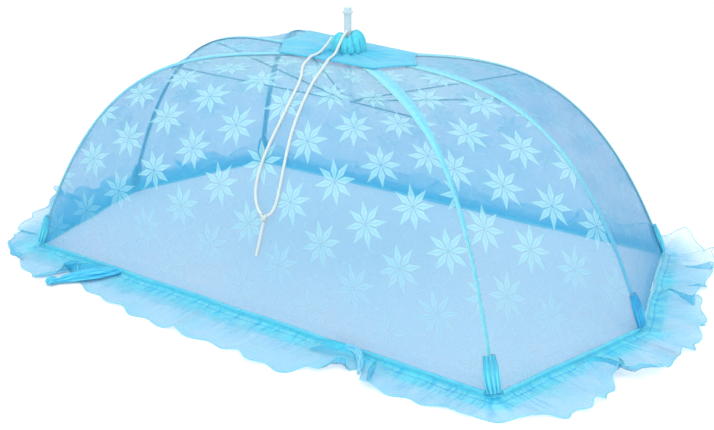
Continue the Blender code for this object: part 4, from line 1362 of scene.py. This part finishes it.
def cap():
    profile = [Vector(ring) for ring in CAP_RINGS]
    fine = []
    for a, b in zip(profile, profile[1:]):
        fine += [a.lerp(b, step / CAP_CUTS) for step in range(CAP_CUTS)]
    fine.append(profile[-1])
    rings = [[cap_point(*ring, n) for n in range(CAP_AROUND)] for ring in fine]
    for height in HOLE_HEIGHTS:
        rings.append([Vector((CAP_HOLE * cos(a), CAP_HOLE * sin(a), height))
                      for a in angles_round(CAP_AROUND)])
    rises = [ring[1] for ring in fine] + [*HOLE_RISES]

    # Across follows the pleats, so the finish paints their ridges lighter than their grooves: painted
    # highlight on the ridges.
    def cut(r, c):
        return 0.0035 - 0.0070 * cap_crease(rises[r % len(rises)], c), r * 0.0012

    piece = lofted("crown_cap", rings, cut, cap_cloth, ends="joined", sharp=80)
    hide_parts("top_cap")


cap()


# ---- floor and light ----
# The net stands on pale matt paper that runs far past it on all sides. The sky is plain white, with
# one large soft lamp over the net and a smaller one off its front right corner.
FLOOR_HALF = 30
floor_mesh = bpy.data.meshes.new("floor")
floor_corners = [(x * FLOOR_HALF, y * FLOOR_HALF, 0) for x, y in ((-1, -1), (1, -1), (1, 1), (-1, 1))]
floor_mesh.from_pydata(floor_corners, [], [(0, 1, 2, 3)])
floor = bpy.data.objects.new("floor", floor_mesh)
link(floor)
paper = bpy.data.materials.new("pale_floor")
paper.use_nodes = True
matt = paper.node_tree.nodes["Principled BSDF"].inputs
matt["Base Color"].default_value = (0.91, 0.91, 0.91, 1)
matt["Roughness"].default_value = 0.9
floor_mesh.materials.append(paper)

sky = bpy.data.worlds.new("studio")
bpy.context.scene.world = sky
sky.use_nodes = True
glow = sky.node_tree.nodes["Background"].inputs
glow["Color"].default_value = (1, 1, 1, 1)
glow["Strength"].default_value = 1.04
LAMPS = (("over", (0.3, -0.6, 2.6), 3.0, 32.0), ("front", (1.6, -2.6, 1.6), 2.2, 16.0))
for name, place, size, power in LAMPS:
    data = bpy.data.lights.new(name, "AREA")
    data.size = size
    data.energy = power
    lamp = bpy.data.objects.new(name, data)
    lamp.location = place
    lamp.rotation_euler = (Vector((0, 0, 0.15)) - Vector(place)).to_track_quat("-Z", "Y").to_euler()
    link(lamp)
bpy.context.scene.view_settings.view_transform = "Standard"
